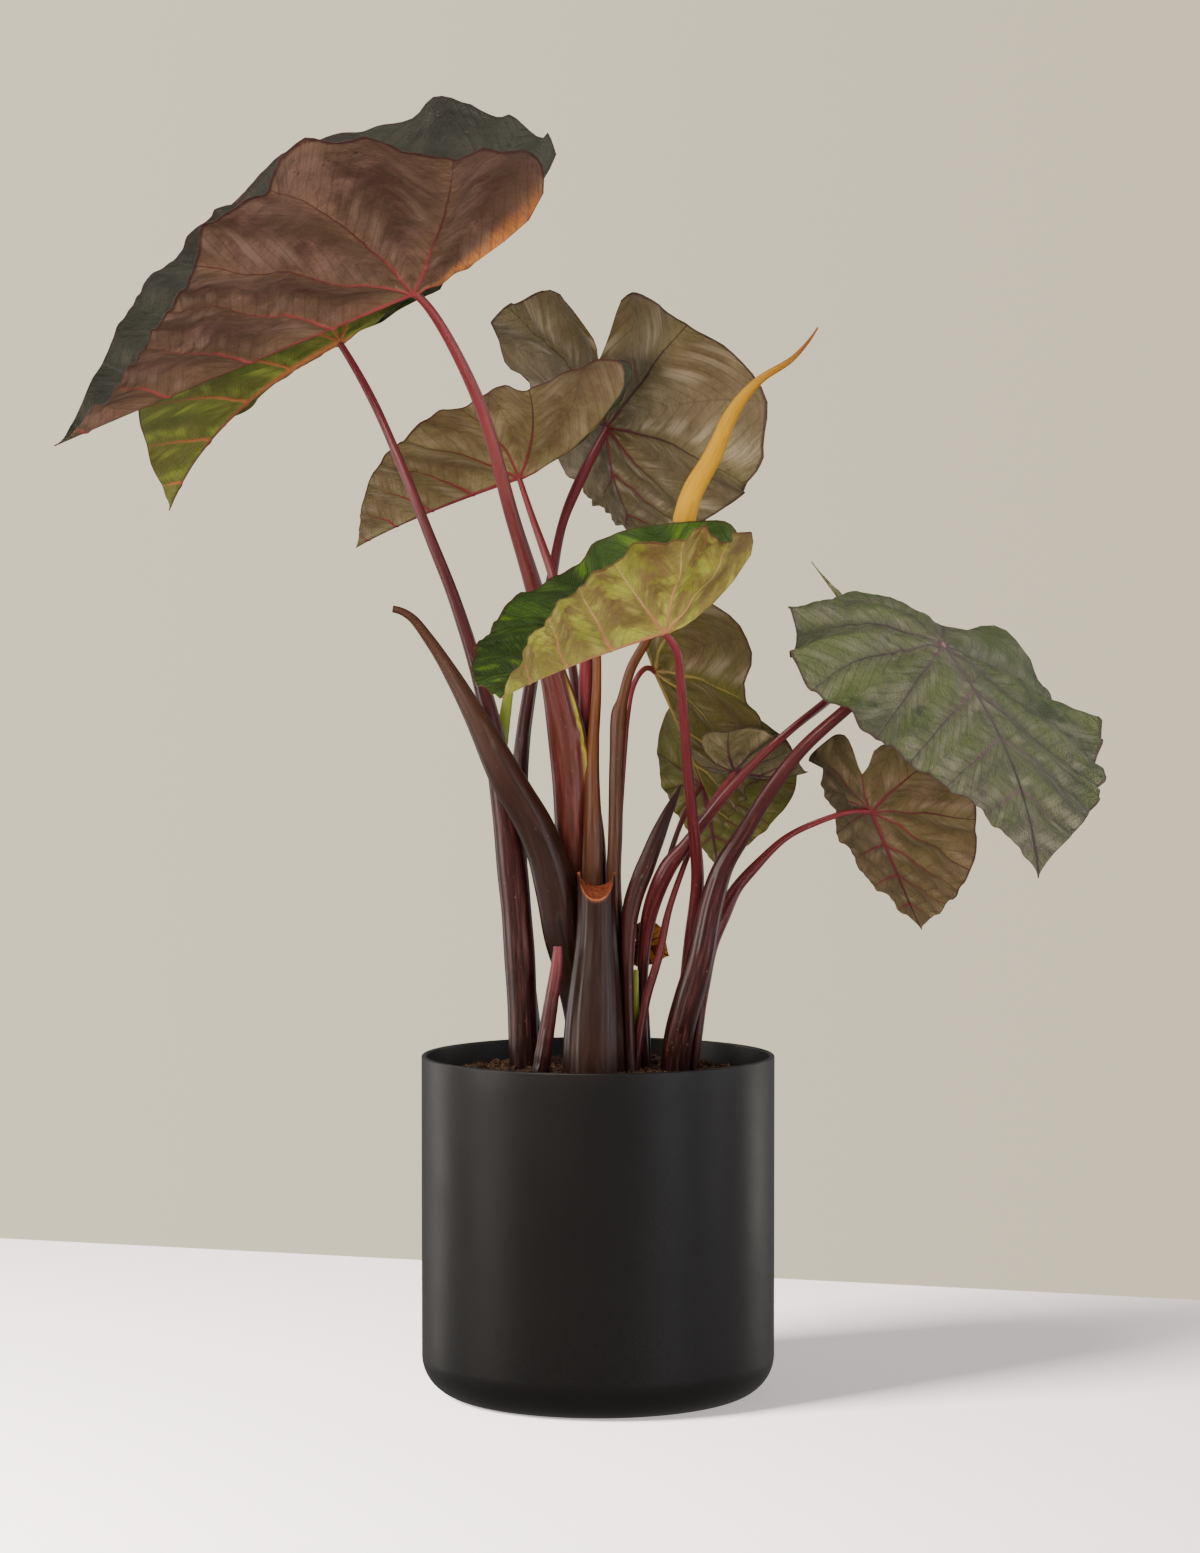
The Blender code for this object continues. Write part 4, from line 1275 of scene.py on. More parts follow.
@dataclass(frozen=True)
class Soil:
    """The bed of soil with bark chips and coir fibres.  Lengths in metres."""
    reach: float = POT_HIGH.x - POT_WALL - SOIL_GAP
    edge_drop: float = 0.008
    edge_width: float = 0.036
    depth: float = 0.020
    steps: int = 220
    rings: int = 70
    chips: int = 1500
    fibres: int = 900
    seed: int = 4

    def height(self, x: np.ndarray, y: np.ndarray) -> np.ndarray:
        """Height of the bed: level in the middle, dropping to the wall, with clods.

        Args:
            x: places across.
            y: places towards the back.

        Returns:
            The height at each place.
        """
        out = np.clip((np.hypot(x, y) - (self.reach - self.edge_width)) / self.edge_width,
                      0, 1)
        spots = np.stack([x, y], -1) * 1000
        clods = (0.0007 * ripple(spots, 19, 2) + 0.0006 * ripple(spots, 7, 3)
                 + 0.0004 * ripple(spots, 3, 5))
        return SOIL_TOP - self.edge_drop * out ** 1.7 + clods

    def bed(self) -> Surface:
        """A round bed: the heights over a polar grid, a side and a flat underside.

        Returns:
            The closed surface.
        """
        angle = np.linspace(0, 2 * pi, self.steps, endpoint=False)[:, None]
        out = np.linspace(0, 1, self.rings)[None] * self.reach
        x, y = out * np.cos(angle), out * np.sin(angle)
        top = np.stack([x, y, self.height(x, y)], -1)
        low = top[:, -1:].copy()
        low[..., 2] = SOIL_TOP - self.depth
        middle = np.zeros_like(low)
        middle[..., 2] = SOIL_TOP - self.depth
        spots = np.concatenate([top, low, middle], 1)
        faces = grid_faces(self.steps, self.rings + 2, closed=True)[:, ::-1]
        return Surface(spots.reshape(-1, 3), faces)

    def scattered(self, count: int, rng: np.random.Generator) -> np.ndarray:
        """Even random places on the bed: the root of a random share gives the radius.

        Args:
            count: how many places.
            rng: the random numbers to draw from.

        Returns:
            Rows of x, y and height.
        """
        out = (self.reach - 0.004) * np.sqrt(rng.uniform(0, 1, count))
        turn = rng.uniform(0, 2 * pi, count)
        x, y = out * np.cos(turn), out * np.sin(turn)
        return np.stack([x, y, self.height(x, y)], -1)

    def bark(self) -> Surface:
        """Chips: egg shapes of six sides with uneven corners, turned and tilted.

        Returns:
            All chips as one surface.
        """
        rng = np.random.default_rng(self.seed)
        sides, rings, n = 6, 5, self.chips
        a = np.linspace(0, 2 * pi, sides, endpoint=False)[:, None]
        b = np.linspace(0, pi, rings)[None]
        egg = np.stack([np.sin(b) * np.cos(a), np.sin(b) * np.sin(a),
                        np.cos(b) + 0 * a], -1).reshape(1, -1, 3)
        inner = (np.sin(b) > 0.01) + 0 * a
        jitter = rng.uniform(0.65, 1.35, (n, sides * rings, 1)) * inner.reshape(1, -1, 1)
        egg = np.where(jitter > 0, egg * jitter, egg)
        size = rng.uniform([0.0012, 0.0008, 0.0004], [0.0042, 0.0026, 0.0013], (n, 3))
        chip = (egg * size[:, None])[..., [0, 2, 1]] * [1, 1.5, 1]
        yaw, tilt = rng.uniform(0, 2 * pi, n), rng.normal(0, 0.5, n)
        x = chip[..., 0] * np.cos(tilt)[:, None] - chip[..., 2] * np.sin(tilt)[:, None]
        z = chip[..., 0] * np.sin(tilt)[:, None] + chip[..., 2] * np.cos(tilt)[:, None]
        y = chip[..., 1]
        turned = np.stack([x * np.cos(yaw)[:, None] - y * np.sin(yaw)[:, None],
                           x * np.sin(yaw)[:, None] + y * np.cos(yaw)[:, None], z], -1)
        spots = turned + self.scattered(n, rng)[:, None] + np.array([0, 0, 0.0004])
        faces = grid_faces(sides, rings, closed=True)
        faces = faces[None] + (np.arange(n) * sides * rings)[:, None, None]
        return Surface(spots.reshape(-1, 3), faces.reshape(-1, 4))

    def coir(self) -> Surface:
        """Fibres: thin three-sided arcs that rise a little and dip back into the bed.

        Returns:
            All fibres as one surface.
        """
        rng = np.random.default_rng(self.seed + 1)
        sides, rings, n = 3, 8, self.fibres
        s = np.linspace(0, 1, rings)
        foot = self.scattered(n, rng)
        length, yaw = rng.uniform(0.005, 0.017, n), rng.uniform(0, 2 * pi, n)
        bow, hump = rng.normal(0, 1.2, n), rng.uniform(0.0006, 0.0030, n)
        heading = yaw[:, None] + bow[:, None] * s
        step = length[:, None] / rings
        x = foot[:, :1] + np.cumsum(np.cos(heading) * step, 1)
        y = foot[:, 1:2] + np.cumsum(np.sin(heading) * step, 1)
        inside = np.minimum(1, (self.reach - 0.001) / np.hypot(x, y))
        x, y = x * inside, y * inside
        z = self.height(x, y) + hump[:, None] * np.sin(pi * s) - 0.0003
        thick = rng.uniform(0.00014, 0.00034, n)[:, None] * np.sin(pi * (0.03 + 0.94 * s))
        side = np.stack([-np.sin(heading), np.cos(heading), 0 * heading], -1)
        a = np.linspace(0, 2 * pi, sides, endpoint=False)
        middle = np.stack([x, y, z], -1)[:, None]
        ring = (np.cos(a)[None, :, None, None] * side[:, None]
                + np.sin(a)[None, :, None, None] * np.array([0, 0, 1.0]))
        spots = middle + ring * thick[:, None, :, None]
        ends = np.broadcast_to(middle, spots.shape)
        spots = np.concatenate([ends[:, :, :1], spots, ends[:, :, -1:]], 2)
        faces = grid_faces(sides, rings + 2, closed=True)
        faces = faces[None] + (np.arange(n) * sides * (rings + 2))[:, None, None]
        return Surface(spots.reshape(-1, 3), faces.reshape(-1, 4))

    def build(self) -> None:
        """Make the bed, the bark chips and the coir fibres."""
        for name, surface, finish, weld in (
                ("soil_bed", self.bed(), CrumbFinish("170f0b", "31231b"), 2e-6),
                ("soil_bark", self.bark(), CrumbFinish("261a14", "5c4535", 230.0), 1e-7),
                ("soil_coir", self.coir(), CrumbFinish("5a4030", "987456", 200.0), 1e-7)):
            made = surface.make(name, (finish.make(name + "_finish"),), weld=weld)
            settle(made, "soil")


# -------------------------------------------------------------------------- studio


class Reach(Enum):
    """What a lamp lights: its collection's name and how the floor stands in it."""
    FLOOR = ("floor_only", "INCLUDE")
    REST = ("all_but_floor", "EXCLUDE")


@dataclass(frozen=True)
class Lamp:
    """A soft rectangular lamp that faces a point.  Metres and watts.

    size is its width and height, and mirrored says whether it shows in reflections.
    """
    name: str
    place: tuple[float, float, float]
    size: tuple[float, float]
    power: float
    colour: str
    aim: tuple[float, float, float] = (0.0, 0.0, 0.5)
    reach: Reach = Reach.REST
    mirrored: bool = True

    def hang(self) -> None:
        """Hang the lamp and turn it to its aim.

        Its tilt is the angle between straight down and the way to the aim, and its turn
        is the heading of that way.
        """
        light = bpy.data.lights.new(self.name, "AREA")
        light.shape = "RECTANGLE"
        light.size, light.size_y = self.size
        light.energy = self.power
        light.color = paint(self.colour)[:3]
        made = bpy.data.objects.new(self.name, light)
        made.location = self.place
        way = np.array(self.aim) - np.array(self.place)
        flat = float(np.hypot(way[0], way[1]))
        made.rotation_euler = Euler((float(np.arctan2(flat, -way[2])), 0.0,
                                     float(np.arctan2(-way[0], way[1]))))
        made.visible_glossy = self.mirrored
        bpy.context.scene.collection.objects.link(made)
        made.light_linking.receiver_collection = bpy.data.collections[self.reach.value[0]]


POT_AIM = (0.0, 0.0, 0.3)
RIM_AIM = (0.0, 0.0, 0.35)
LEAF_AIM = (0.0, 0.0, 0.7)
LAMPS = (
    Lamp("floor_lamp", (-1.7, -1.1, 1.25), (0.85, 0.85), 410.0, "fffaf6", (0.0, 0.0, 0.0),
         Reach.FLOOR),
    Lamp("key_lamp", (-1.3, -2.2, 2.3), (1.1, 1.1), 80.0, "fff4e4"),
    Lamp("side_lamp", (-2.4, -0.7, 0.9), (0.9, 1.9), 34.0, "fff6ee", POT_AIM),
    Lamp("strip_lamp", (2.0, -1.9, 0.9), (0.5, 2.2), 15.0, "f4f6ff", POT_AIM),
    Lamp("edge_lamp", (1.9, -0.35, 0.7), (0.4, 1.6), 6.0, "f8f6ff", POT_AIM),
    Lamp("rim_lamp_left", (-1.3, 0.8, 0.6), (0.4, 1.7), 6.5, "fffaf4", RIM_AIM),
    Lamp("rim_lamp_right", (1.3, 0.8, 0.6), (0.4, 1.7), 5.0, "fffaf4", RIM_AIM),
    Lamp("top_lamp", (-0.2, -0.2, 2.7), (1.1, 1.1), 22.0, "fffaf2"),
    Lamp("low_lamp_left", (-1.1, -2.3, 0.1), (1.5, 0.9), 92.0, "fff2e2", LEAF_AIM,
         mirrored=False),
    Lamp("low_lamp_right", (1.2, -2.3, 0.1), (1.5, 0.9), 80.0, "fff2e2", LEAF_AIM,
         mirrored=False),
)


@dataclass(frozen=True)
class Studio:
    """Camera, lights, pale floor and the warm grey wall behind.

    The wall passes through wall_place at wall_turn degrees from the picture's width.
    """
    eye: tuple[float, float, float] = (0.0014, -2.8, 0.534)
    tilt: float = -1.986
    lens: float = 91.9
    wall_place: tuple[float, float] = (0.0, 0.545)
    wall_turn: float = -18.0
    wall_reach: float = 9.0
    wall_rise: float = 6.0
    floor_depth: float = 12.0
    sky: str = "e8e4de"
    sky_strength: float = 0.33

    def camera(self) -> None:
        """Set the camera at the height and tilt that frame the whole plant."""
        view = bpy.data.cameras.new("camera")
        view.lens, view.sensor_width = self.lens, 36.0
        made = bpy.data.objects.new("camera", view)
        made.location = self.eye
        made.rotation_euler = Euler((radians(90 + self.tilt), 0.0, 0.0))
        bpy.context.scene.collection.objects.link(made)
        bpy.context.scene.camera = made

    def plane(self, name: str, corners: Sequence[Sequence[float]],
              finish: bpy.types.Material) -> bpy.types.Object:
        """A flat stage piece, which throws no light on the plant.

        Args:
            name: the piece's name.
            corners: its four corners in order.
            finish: its material.

        Returns:
            The stage piece.
        """
        mesh = bpy.data.meshes.new(name)
        mesh.from_pydata([tuple(c) for c in corners], [], [(0, 1, 2, 3)])
        mesh.materials.append(finish)
        made = bpy.data.objects.new(name, mesh)
        made.visible_diffuse = made.visible_glossy = made.visible_transmission = False
        bpy.context.scene.collection.objects.link(made)
        return made

    def glow(self, name: str, low: str, high: str, share: float,
             strength: float) -> bpy.types.Material:
        """A plain surface, part matte and part self-lit so that shadows stay faint.

        Its colour goes from low on the left to high on the right, and from behind it is
        clear, so that the plant can be seen from every side.

        Args:
            name: the material's name.
            low: the colour on the left.
            high: the colour on the right.
            share: the share that is self-lit.
            strength: how strongly it is lit.

        Returns:
            The material.
        """
        w = Wiring(name)
        split = w.tree.nodes.new("ShaderNodeSeparateXYZ")
        w.feed(split.inputs[0], w.place())
        colour = w.mix(w.climb(split.outputs[0], -0.6, 0.6), paint(low), paint(high))
        matte = w.tree.nodes.new("ShaderNodeBsdfDiffuse")
        lit = w.tree.nodes.new("ShaderNodeEmission")
        w.feed(matte.inputs["Color"], colour)
        w.feed(lit.inputs["Color"], colour)
        w.feed(lit.inputs["Strength"], strength)
        both = w.mix_shaders(share, matte.outputs[0], lit.outputs[0])
        clear = w.tree.nodes.new("ShaderNodeBsdfTransparent")
        side = w.tree.nodes.new("ShaderNodeNewGeometry")
        shown = w.mix_shaders(side.outputs["Backfacing"], both, clear.outputs[0])
        w.tree.links.new(shown, w.output.inputs["Surface"])
        return w.material

    def room(self) -> None:
        """Lay the floor and stand the wall, and split the floor's light from the rest."""
        turn = radians(self.wall_turn)
        way = np.array([np.cos(turn), np.sin(turn), 0.0]) * self.wall_reach
        foot = np.array([*self.wall_place, 0.0])
        left, right = foot - way, foot + way
        up = np.array([0.0, 0.0, self.wall_rise])
        # The wall is wholly self-lit, and its glow dims to the right as a painted fall-off of
        # the light.
        wall = self.plane("wall", (left, right, right + up, left + up),
                          self.glow("wall_self_lit", "fbf2d6", "e9ddc2", 1.0, 1.14))
        wall.visible_shadow = False
        front = np.array([0.0, -self.floor_depth, 0.0])
        floor = self.plane("floor", (left + front, right + front, right, left),
                           self.glow("floor_paint", "f9f0ef", "f9f0ef", 0.26, 2.2))
        for reach in Reach:
            name, state = reach.value
            group = bpy.data.collections.new(name)
            group.objects.link(floor)
            group.collection_objects[0].light_linking.link_state = state

    def build(self) -> None:
        """Set up the camera, the lamps, the floor, the wall and the sky light."""
        self.camera()
        self.room()
        for lamp in LAMPS:
            lamp.hang()
        world = bpy.data.worlds.new("sky")
        world.use_nodes = True
        background = world.node_tree.nodes["Background"]
        background.inputs["Color"].default_value = paint(self.sky)
        background.inputs["Strength"].default_value = self.sky_strength
        bpy.context.scene.world = world


# ---------------------------------------------------------------------------- plant

# In these finishes the pale colour beside the ribs is a painted sheen, and the brown underside's
# orange sector beside the notch is painted light shining through the lobe.
UNDER_BROWN = LeafFinish("4e3733", "795e55", "82694c", "745a52", "5a413b", "4e242c", "96464a",
                         "3e2c2a", "34181c", patch="433a26", patch_share=0.5,
                         painted_sheen="8c776a", painted_sheen_share=0.4, painted_backlight="e0904c", painted_backlight_share=0.95,
                         stem_reach=90.0)
UPPER_SLATE = LeafFinish("171710", "2d2d24", "2e3424", "242422", "363a2e", "363032",
                         "443a3c", "181916", "281a1c", painted_sheen="44423a", gloss=0.42,
                         shine=0.3, thin=0.06)
UNDER_LIME = LeafFinish("3e4a22", "5c6630", "727a3c", "5a4c36", "5e6a30", "6c3a34", "946040",
                        "46581f", "44242a", patch="5c4836", patch_share=0.5,
                        painted_sheen="8c9a44", painted_sheen_share=0.5, thin=0.18)
UPPER_MOSS = LeafFinish("28361a", "414c28", "3c4a24", "3c3c24", "353c20", "382a2c", "48303a",
                        "222c16", "301c1e", painted_sheen="5c6a38", thin=0.08)
UNDER_TAN = LeafFinish("605438", "8a7c60", "868050", "5c4a3c", "6a6050", "52262e", "7a3038",
                       "463a26", "4c2228", patch="5c443a", patch_share=0.5)
UNDER_UMBER = LeafFinish("5c533a", "84795f", "6e6838", "80756a", "564e32", "3a1c22",
                         "6c2e3a", "443b29", "36201f", patch="6a5749", patch_share=0.45,
                         painted_sheen="b2a592", painted_sheen_share=0.6)
UNDER_GOLD = LeafFinish("80803a", "b0b252", "b4b656", "a8a84a", "80604f", "c8a07c", "bc8064",
                        "6c6438", "56302a", patch="745244", patch_share=1.0,
                        painted_sheen="d2cc74", painted_sheen_share=0.4, thin=0.16)
UPPER_VIVID = LeafFinish("182206", "34500c", "263c0a", "2c460c", "42600e", "22380f",
                         "34501e", "141f0a", "33260f", patch="1a280a", patch_share=0.5,
                         painted_sheen="6c9020", gloss=0.38, thin=0.08)
UNDER_COCOA = LeafFinish("4c3629", "644c40", "5c6018", "62483c", "4c501a", "84743e",
                         "9c8652", "3c2c1f", "3a2420", glow_reach=18.0,
                         glow_share=0.85, patch="50541a", patch_share=0.5)
UNDER_OLIVE = LeafFinish("585630", "74763e", "6a6c2c", "5e5c28", "54542e", "4a2a30",
                         "62343a", "403e24", "584822", thin=0.2)
UNDER_KHAKI = LeafFinish("665e44", "8a8166", "605c3c", "7c725e", "5c563e", "38242a",
                         "52303a", "463e2c", "3c2828")
UNDER_RUSSET = LeafFinish("60503c", "86725e", "6e6846", "887360", "605e42", "481e28",
                          "7c3640", "463828", "3c2022", patch="56542e", patch_share=0.5)
UPPER_SAGE = LeafFinish("2f3724", "646752", "4f4d48", "4c4545", "5a584c", "332c2d",
                        "54464a", "282e1c", "3c302e", glow_reach=9.0,
                        glow_share=0.75, patch="4a5828", patch_share=0.65, painted_sheen="76766a",
                        painted_sheen_share=0.5, gloss=0.46, shine=0.3, thin=0.06)
UNDER_ASH = LeafFinish("8c9070", "b0b290", "989c6c", "7a904c", "9a9a80", "66505a", "76606a",
                       "5c5f48", "4c4638")
UNDER_AMBER = LeafFinish("b8743a", "e0a058", "c88e4a", "c88842", "b0743c", "5a3020",
                         "6a3624", "7c4a26", "5a3020", thin=0.3)

BLADES = (
    Blade("leaf_upper_left", "leaf_brown", (-129, -30, 547), 160, -20, 2, 278, 137, 170, 182,
          40, (29, 60), UPPER_SLATE, UNDER_BROWN, curl=(0, -20), droop=6, lift=16,
          fold_tip=(-3, 10), fold_lobe=(-16, -6), twist=-12, sweep=28, ribs=4.4, quilt=0.11,
          ruffle=4.0, columns=24, rows=54, seed=1),
    Blade("leaf_far_left", "leaf_olive", (-187, 75, 520), 185, -28, -30, 184, 93, 136, 103,
          29, (76, 33), UPPER_MOSS, UNDER_LIME, droop=49, fold_tip=(7, -7),
          fold_lobe=(0, 13), sweep=7, ruffle=3.0, seed=2),
    Blade("leaf_middle_left", "leaf_olive", (-58, 120, 424), 160, -17, 0, 180, 123, 76, 90,
          30, (58, 42), UPPER_MOSS, UNDER_TAN, curl=(-20, 0), lift=39, fold_lobe=(-15, 0),
          sweep=-41, ruffle=2.0, seed=3),
    Blade("leaf_back", "leaf_olive", (7, 200, 465), 80, -70, -57, 120, 104, 149, 160, 50,
          (-3, 19), UPPER_MOSS, UNDER_UMBER, droop=-48, lift=-10, fold_lobe=(-29, 10),
          sweep=-3, ribs=3.4, ruffle=3.0, seed=4),
    Blade("leaf_front", "leaf_lime", (44, -131, 310), 212, -14, 15, 194, 101, 94, 101, 30,
          (66, 8), UPPER_VIVID, UNDER_GOLD, curl=(-13, 10), droop=-13, lift=55,
          fold_tip=(7, -3), fold_lobe=(-3, 16), twist=15, sweep=43, ribs=4.2, ruffle=2.4,
          seed=5),
    Blade("leaf_hanging", "leaf_olive", (41, 52, 282), 41, -59, -30, 143, 66, 55, 104, 23,
          (58, 23), UPPER_MOSS, UNDER_COCOA, fold_lobe=(0, 23), sweep=12, ribs=3.6,
          ruffle=2.2, scallop=0.04, columns=16, rows=34, seed=6),
    Blade("leaf_low_back", "leaf_olive", (77, 140, 197), 60, -62, 10, 70, 66, 34, 72, 21,
          (10, 10), UPPER_MOSS, UNDER_OLIVE, droop=14, lift=12, sweep=2, ribs=3.4,
          ruffle=1.0, columns=14, rows=30, seed=7),
    Blade("leaf_low_small", "leaf_brown", (97, 4, 212), 26, -13, 16, 62, 39, 23, 47, 15,
          (8, 21), UPPER_MOSS, UNDER_KHAKI, droop=-29, lift=35, ribs=3.2, ruffle=0.8,
          columns=12, rows=24, seed=8),
    Blade("leaf_low_right", "leaf_brown", (196, 40, 182), 62, -45, -18, 138, 59, 60, 77, 35,
          (10, 17), UPPER_MOSS, UNDER_RUSSET, curl=(10, 10), droop=-6, lift=30,
          fold_tip=(-27, -17), fold_lobe=(-18, 2), sweep=6, ribs=4.0, ruffle=1.8,
          scallop=0.03, columns=16, rows=34, seed=9),
    Blade("leaf_right", "leaf_green", (239, -60, 301), -55, -41, 31, 209, 119, 130, 118, 40,
          (14, -33), UPPER_SAGE, UNDER_RUSSET, curl=(-10, -20), droop=25, lift=-60,
          fold_tip=(19, -2), sweep=-8, ribs=4.6, quilt=0.12, ruffle=4.2, scallop=0.02,
          columns=24, rows=54, seed=10),
    Blade("leaf_young", "fresh_green", (204, 75, 294), 178, 54, 0, 84, 28, 16, 16, 9,
          (36, 36), UNDER_ASH, UNDER_ASH, curl=(20, 20), fold_tip=(-26, -26),
          fold_lobe=(-16, -16), ribs=4.0, ruffle=0.8, columns=8, rows=14, seed=11),
    Blade("leaf_seedling", "bark_brown", (33, 26, 88), -4, -24, 76, 20, 13, 19, 18, 6,
          (6, 6), UNDER_AMBER, UNDER_AMBER, droop=6, ribs=3.0, ruffle=0.5, columns=8,
          rows=16, thickness=0.5, seed=12),
)

# The foot colours are partly the stalks' own dark bases and partly painted shade of the crowded
# base.
WINE = StemFinish("170a08", "2e1214", "602830", "5c3030", "100706")
WINE_LIPPED = StemFinish("30170f", "42201d", "66282f", "6c3834", "a8a444", 0.95)
ROSE = StemFinish("200d0e", "46191e", "6a2a32", "744042", "18090a")
DARK = StemFinish("150a08", "20100c", "40271c", "34201a", "0c0504", 0.7, 0.36, 0.12)
BARK = StemFinish("24150e", "382116", "603a22", "6c4a36", "1e110b", 0.6, 0.38, 0.1)
HUSK = StemFinish("241110", "311615", "221413", "482a26", "100706", 0.8, 0.35, 0.1)
YELLOW = StemFinish("a27c00", "967200", "5c3014", "785000", "64400a", 0.5, 0.6, 0.0,
                    "7c5210")
GREEN = StemFinish("3e4c1a", "5c6a24", "747e34", "3e481c", "8c8840", 0.4, 0.4, 0.1,
                   "98984c")

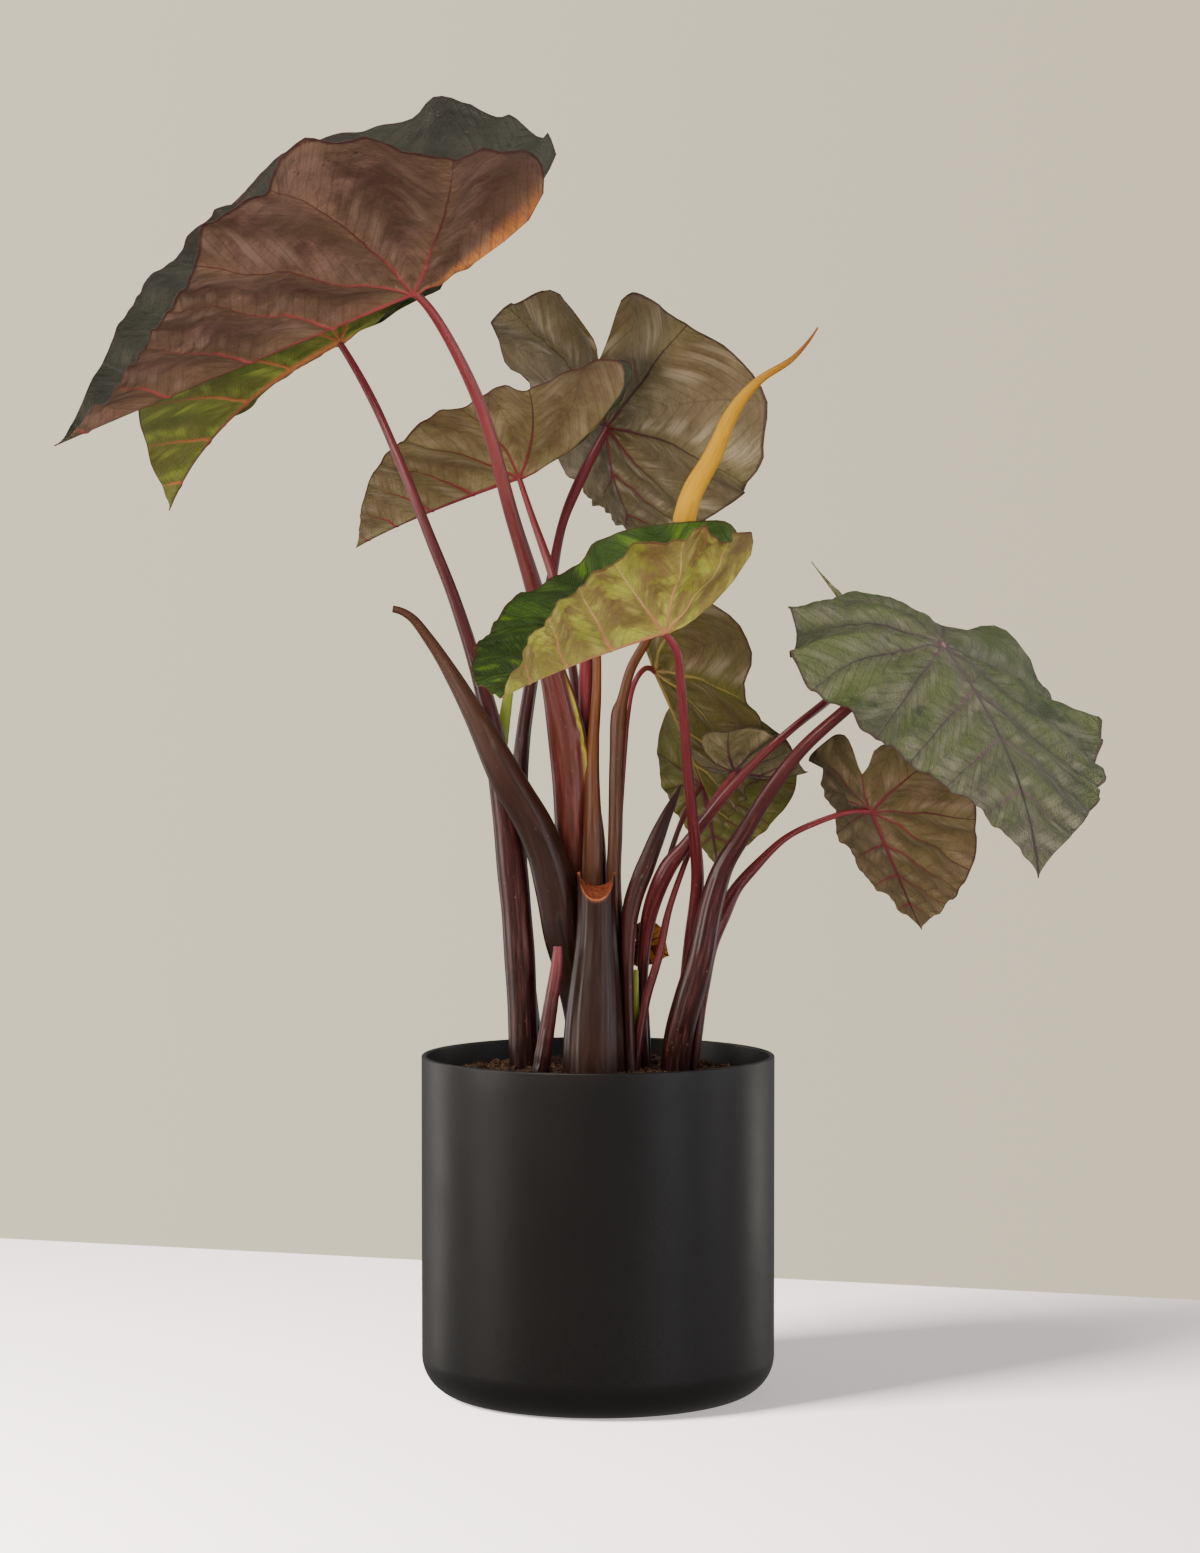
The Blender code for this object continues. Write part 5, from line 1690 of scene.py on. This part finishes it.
STEMS = (
    Stem("stalk_upper_left", "stalk_wine", (
        (-12, 34, 0, 7.5), (-14, 31, 60, 8), (-16, 27, 119, 10.5), (-18, 21, 167, 12.5),
        (-21, 19, 222, 13), (-27, 18, 259, 11.5), (-36, 16, 298, 8.2), (-43, 13, 333, 6.8),
        (-60, 7, 390, 5.2), (-84, -6, 473, 4.3), (-116, -24, 534, 3.3), (-129, -30, 547, 2.8)),
        WINE_LIPPED, (0.02, 0.50), 0.16, 318, 10, jag=0.10, seed=1),
    Stem("stalk_far_left", "stalk_wine", (
        (-53, 15, 0, 10), (-56, 17, 76, 10.5), (-61, 20, 138, 10.5), (-71, 22, 218, 8.5),
        (-80, 24, 262, 6.3), (-102, 30, 333, 4.4), (-119, 34, 376, 4), (-140, 44, 428, 3.4),
        (-163, 60, 479, 3), (-187, 75, 520, 2.5)), WINE, (0.0, 0.42), 0.12, 292, 40, seed=2),
    Stem("stalk_middle_left", "stalk_wine", (
        (4, 44, 0, 3), (-1, 43, 118, 3), (-7, 44, 190, 3), (-13, 50, 249, 3),
        (-22, 66, 305, 3.5), (-31, 84, 345, 3.5), (-50, 110, 400, 2.5), (-58, 120, 424, 2)),
        ROSE, (0.0, 0.6), seed=3),
    Stem("stalk_back", "stalk_wine", (
        (-43, 40, 0, 5.5), (-56, 56, 117, 6), (-57, 76, 207, 6), (-50, 102, 268, 5),
        (-36, 138, 342, 4), (-27, 160, 390, 3.5), (-17, 174, 417, 4), (7, 200, 465, 3)),
        WINE, (0.0, 0.5), seed=4),
    Stem("stalk_front", "stalk_wine", (
        (56, 13, 0, 4.6), (62, 4, 57, 4.8), (66, -3, 96, 4.8), (70, -14, 136, 4.6),
        (66, -40, 179, 4), (62, -62, 215, 3.5), (59, -84, 250, 3.4), (56, -104, 278, 3.2),
        (53, -122, 298, 2.8), (44, -131, 310, 2.3)), ROSE, (0.0, 0.38), 0.2, 320, 20, seed=5),
    Stem("stalk_hanging", "stalk_wine", (
        (15, 26, 0, 2), (13, 22, 84, 2), (15, 16, 168, 2), (19, 14, 230, 2),
        (21, 16, 252, 2), (24, 22, 269, 2), (29, 31, 280, 2), (35, 42, 285, 2),
        (41, 52, 282, 2)), ROSE, seed=6),
    Stem("stalk_low_back", "stalk_wine", (
        (28, 26, 0, 2), (34, 36, 83, 2), (42, 42, 117, 2), (52, 54, 151, 2),
        (63, 86, 178, 2), (77, 140, 197, 2)), WINE, seed=7),
    Stem("stalk_low_small", "stalk_wine", (
        (26, -8, 0, 3.5), (34, -7, 51, 3), (43, -5, 82, 3), (50, -3, 114, 2.5),
        (62, -3, 149, 2), (72, -3, 174, 2), (82, 1, 192, 2), (97, 4, 212, 1.5)), ROSE, seed=8),
    Stem("stalk_low_right", "stalk_wine", (
        (67, 2, 0, 4), (75, 4, 60, 4), (80, 5, 89, 5), (88, 8, 110, 5.5),
        (97, 12, 127, 4.4), (112, 18, 144, 3.6), (134, 26, 164, 2.4), (157, 32, 175, 2.2),
        (181, 38, 182, 2), (196, 40, 182, 1.7)), ROSE, (0.1, 0.55), 0.2, 250, 60, seed=9),
    Stem("stalk_right", "stalk_wine", (
        (54, -12, 0, 10), (57, -14, 28, 10), (63, -17, 52, 10), (71, -20, 79, 9.5),
        (79, -23, 119, 8.4), (88, -26, 147, 7), (103, -30, 172, 6), (120, -35, 200, 5.2),
        (141, -40, 228, 4.6), (168, -42, 253, 4.2), (203, -44, 281, 3.6), (239, -60, 301, 3.1)),
        WINE, (0.0, 0.5), 0.14, 275, -60, seed=10),
    Stem("stalk_young", "stalk_wine", (
        (33, 10, 0, 4), (32, 6, 77, 4), (37, 0, 114, 5.5), (49, -10, 145, 6),
        (60, -15, 159, 4.6), (72, -20, 175, 3.8), (89, -28, 197, 3.5), (112, -32, 222, 3.1),
        (136, -22, 243, 2.8), (162, 5, 262, 3), (184, 44, 280, 2.5), (204, 75, 294, 2)),
        ROSE, (0.15, 0.55), 0.18, 260, 40, seed=11),
    Stem("stalk_seedling", "stalk_wine", (
        (36, 20, 0, 2), (34, 19, 47, 2), (31, 21, 76, 1.8), (33, 26, 88, 1.5)), ROSE,
        rings=50, seed=12),
    Stem("spathe_stalk", "bark_brown", (
        (21, 0, 0, 4), (15, 4, 92, 4), (11, 3, 135, 5), (12, 1, 168, 5), (13, 2, 222, 5),
        (15, 3, 254, 5.5), (17, 3, 262, 4), (23, 3, 284, 3.5), (36, -4, 309, 3.5),
        (50, -12, 351, 5), (60, -14, 386, 7)), BARK, (0.0, 0.66), 0.18, 250, 10, seed=13),
    Stem("centre_stalk", "bark_brown", (
        (9, 9, 0, 5.5), (1, 6, 78, 6.5), (-4, 5, 128, 7), (-4, 4, 168, 6.5),
        (-4, 14, 222, 4.5), (-1, 20, 269, 3.5), (-1, 22, 301, 3)), BARK, (0.0, 0.8), 0.12,
        300, 20, seed=14),
    Stem("inner_red_stalk", "stalk_wine", (
        (4, 28, 0, 2.5), (4, 18, 134, 2.5), (2, 18, 168, 2.5), (-4, 26, 205, 2.5),
        (-9, 31, 233, 3.5), (-9, 32, 262, 5), (-8, 33, 301, 4.5)), ROSE, (0.0, 0.2),
        ridge=0.03, seed=15),
    Stem("trimmed_stalk", "stalk_dark", (
        (-9, 12, 0, 10), (-16, 11, 60, 12.5), (-25, 3, 96, 13.5), (-31, 0, 132, 14),
        (-43, -3, 169, 12.5), (-66, -6, 210, 11.5), (-87, -4, 252, 8), (-104, 0, 282, 5.5),
        (-119, 2, 305, 4), (-133, 2, 322, 3), (-145, 2, 327, 2.5)),
        DARK, (0.15, 0.74), 0.16, 262, 50, seed=16),
    Stem("small_shoot", "stalk_wine", (
        (-41, -30, 0, 6), (-34, -32, 45, 5), (-29, -33, 78, 4), (-28, -33, 91, 3)),
        WINE, (0.0, 0.9), 0.16, 250, 30, rings=60, seed=17),
    Stem("dry_sheath", "stalk_dark", (
        (23, -15, 0, 3.7), (21, -11, 61, 3.7), (21, -8, 97, 5), (24, -5, 120, 6),
        (35, -3, 150, 6), (47, 0, 179, 4), (55, 2, 195, 2), (59, 3, 203, 0.6)),
        HUSK, (0.1, 0.97), 0.3, 262, 30, flat=0.7, seed=18),
    Stem("spathe", "spathe_yellow", (
        (60, -14, 387, 7.6), (66, -14, 409, 7.2), (80, -14, 434, 6.2), (92, -14, 461, 4.9),
        (102, -14, 476, 3.8), (114, -14, 488, 2.8), (137, -14, 503, 1.8),
        (154, -14, 524, 0.6)), YELLOW, (0.0, 0.9), 0.2, 285, 30, flat=0.8, ridge=0.02,
        seed=19),
    Stem("sheath_strip_left", "fresh_green", (
        (-72, 36, 211, 3), (-70, 38, 230, 5), (-66, 40, 255, 4), (-62, 44, 285, 3)), GREEN,
        flat=0.3, rings=50, seed=20),
    Stem("sheath_strip_right", "fresh_green", (
        (28, 1, 3, 1.6), (27, -2, 40, 2.2), (27, -1, 72, 1.6)), GREEN, flat=0.5, rings=40,
        seed=21),
)

STUB_ROUTE = ((-3, -22, 0, 21.5), (-3, -21, 26, 20.6), (-2, -19, 62, 18), (-1, -17, 98, 14.5),
              (-1, -16, 124, 13.2))


def main() -> None:
    """Build the studio, the pot, the soil and the plant."""
    logging.basicConfig(level=logging.INFO, format="%(name)s: %(message)s")
    Studio().build()
    Pot().build()
    Soil().build()
    for blade in BLADES:
        blade.build()
    for stem in STEMS:
        stem.build()
    CutStub(STUB_ROUTE).build()


if __name__ == "__main__":
    main()
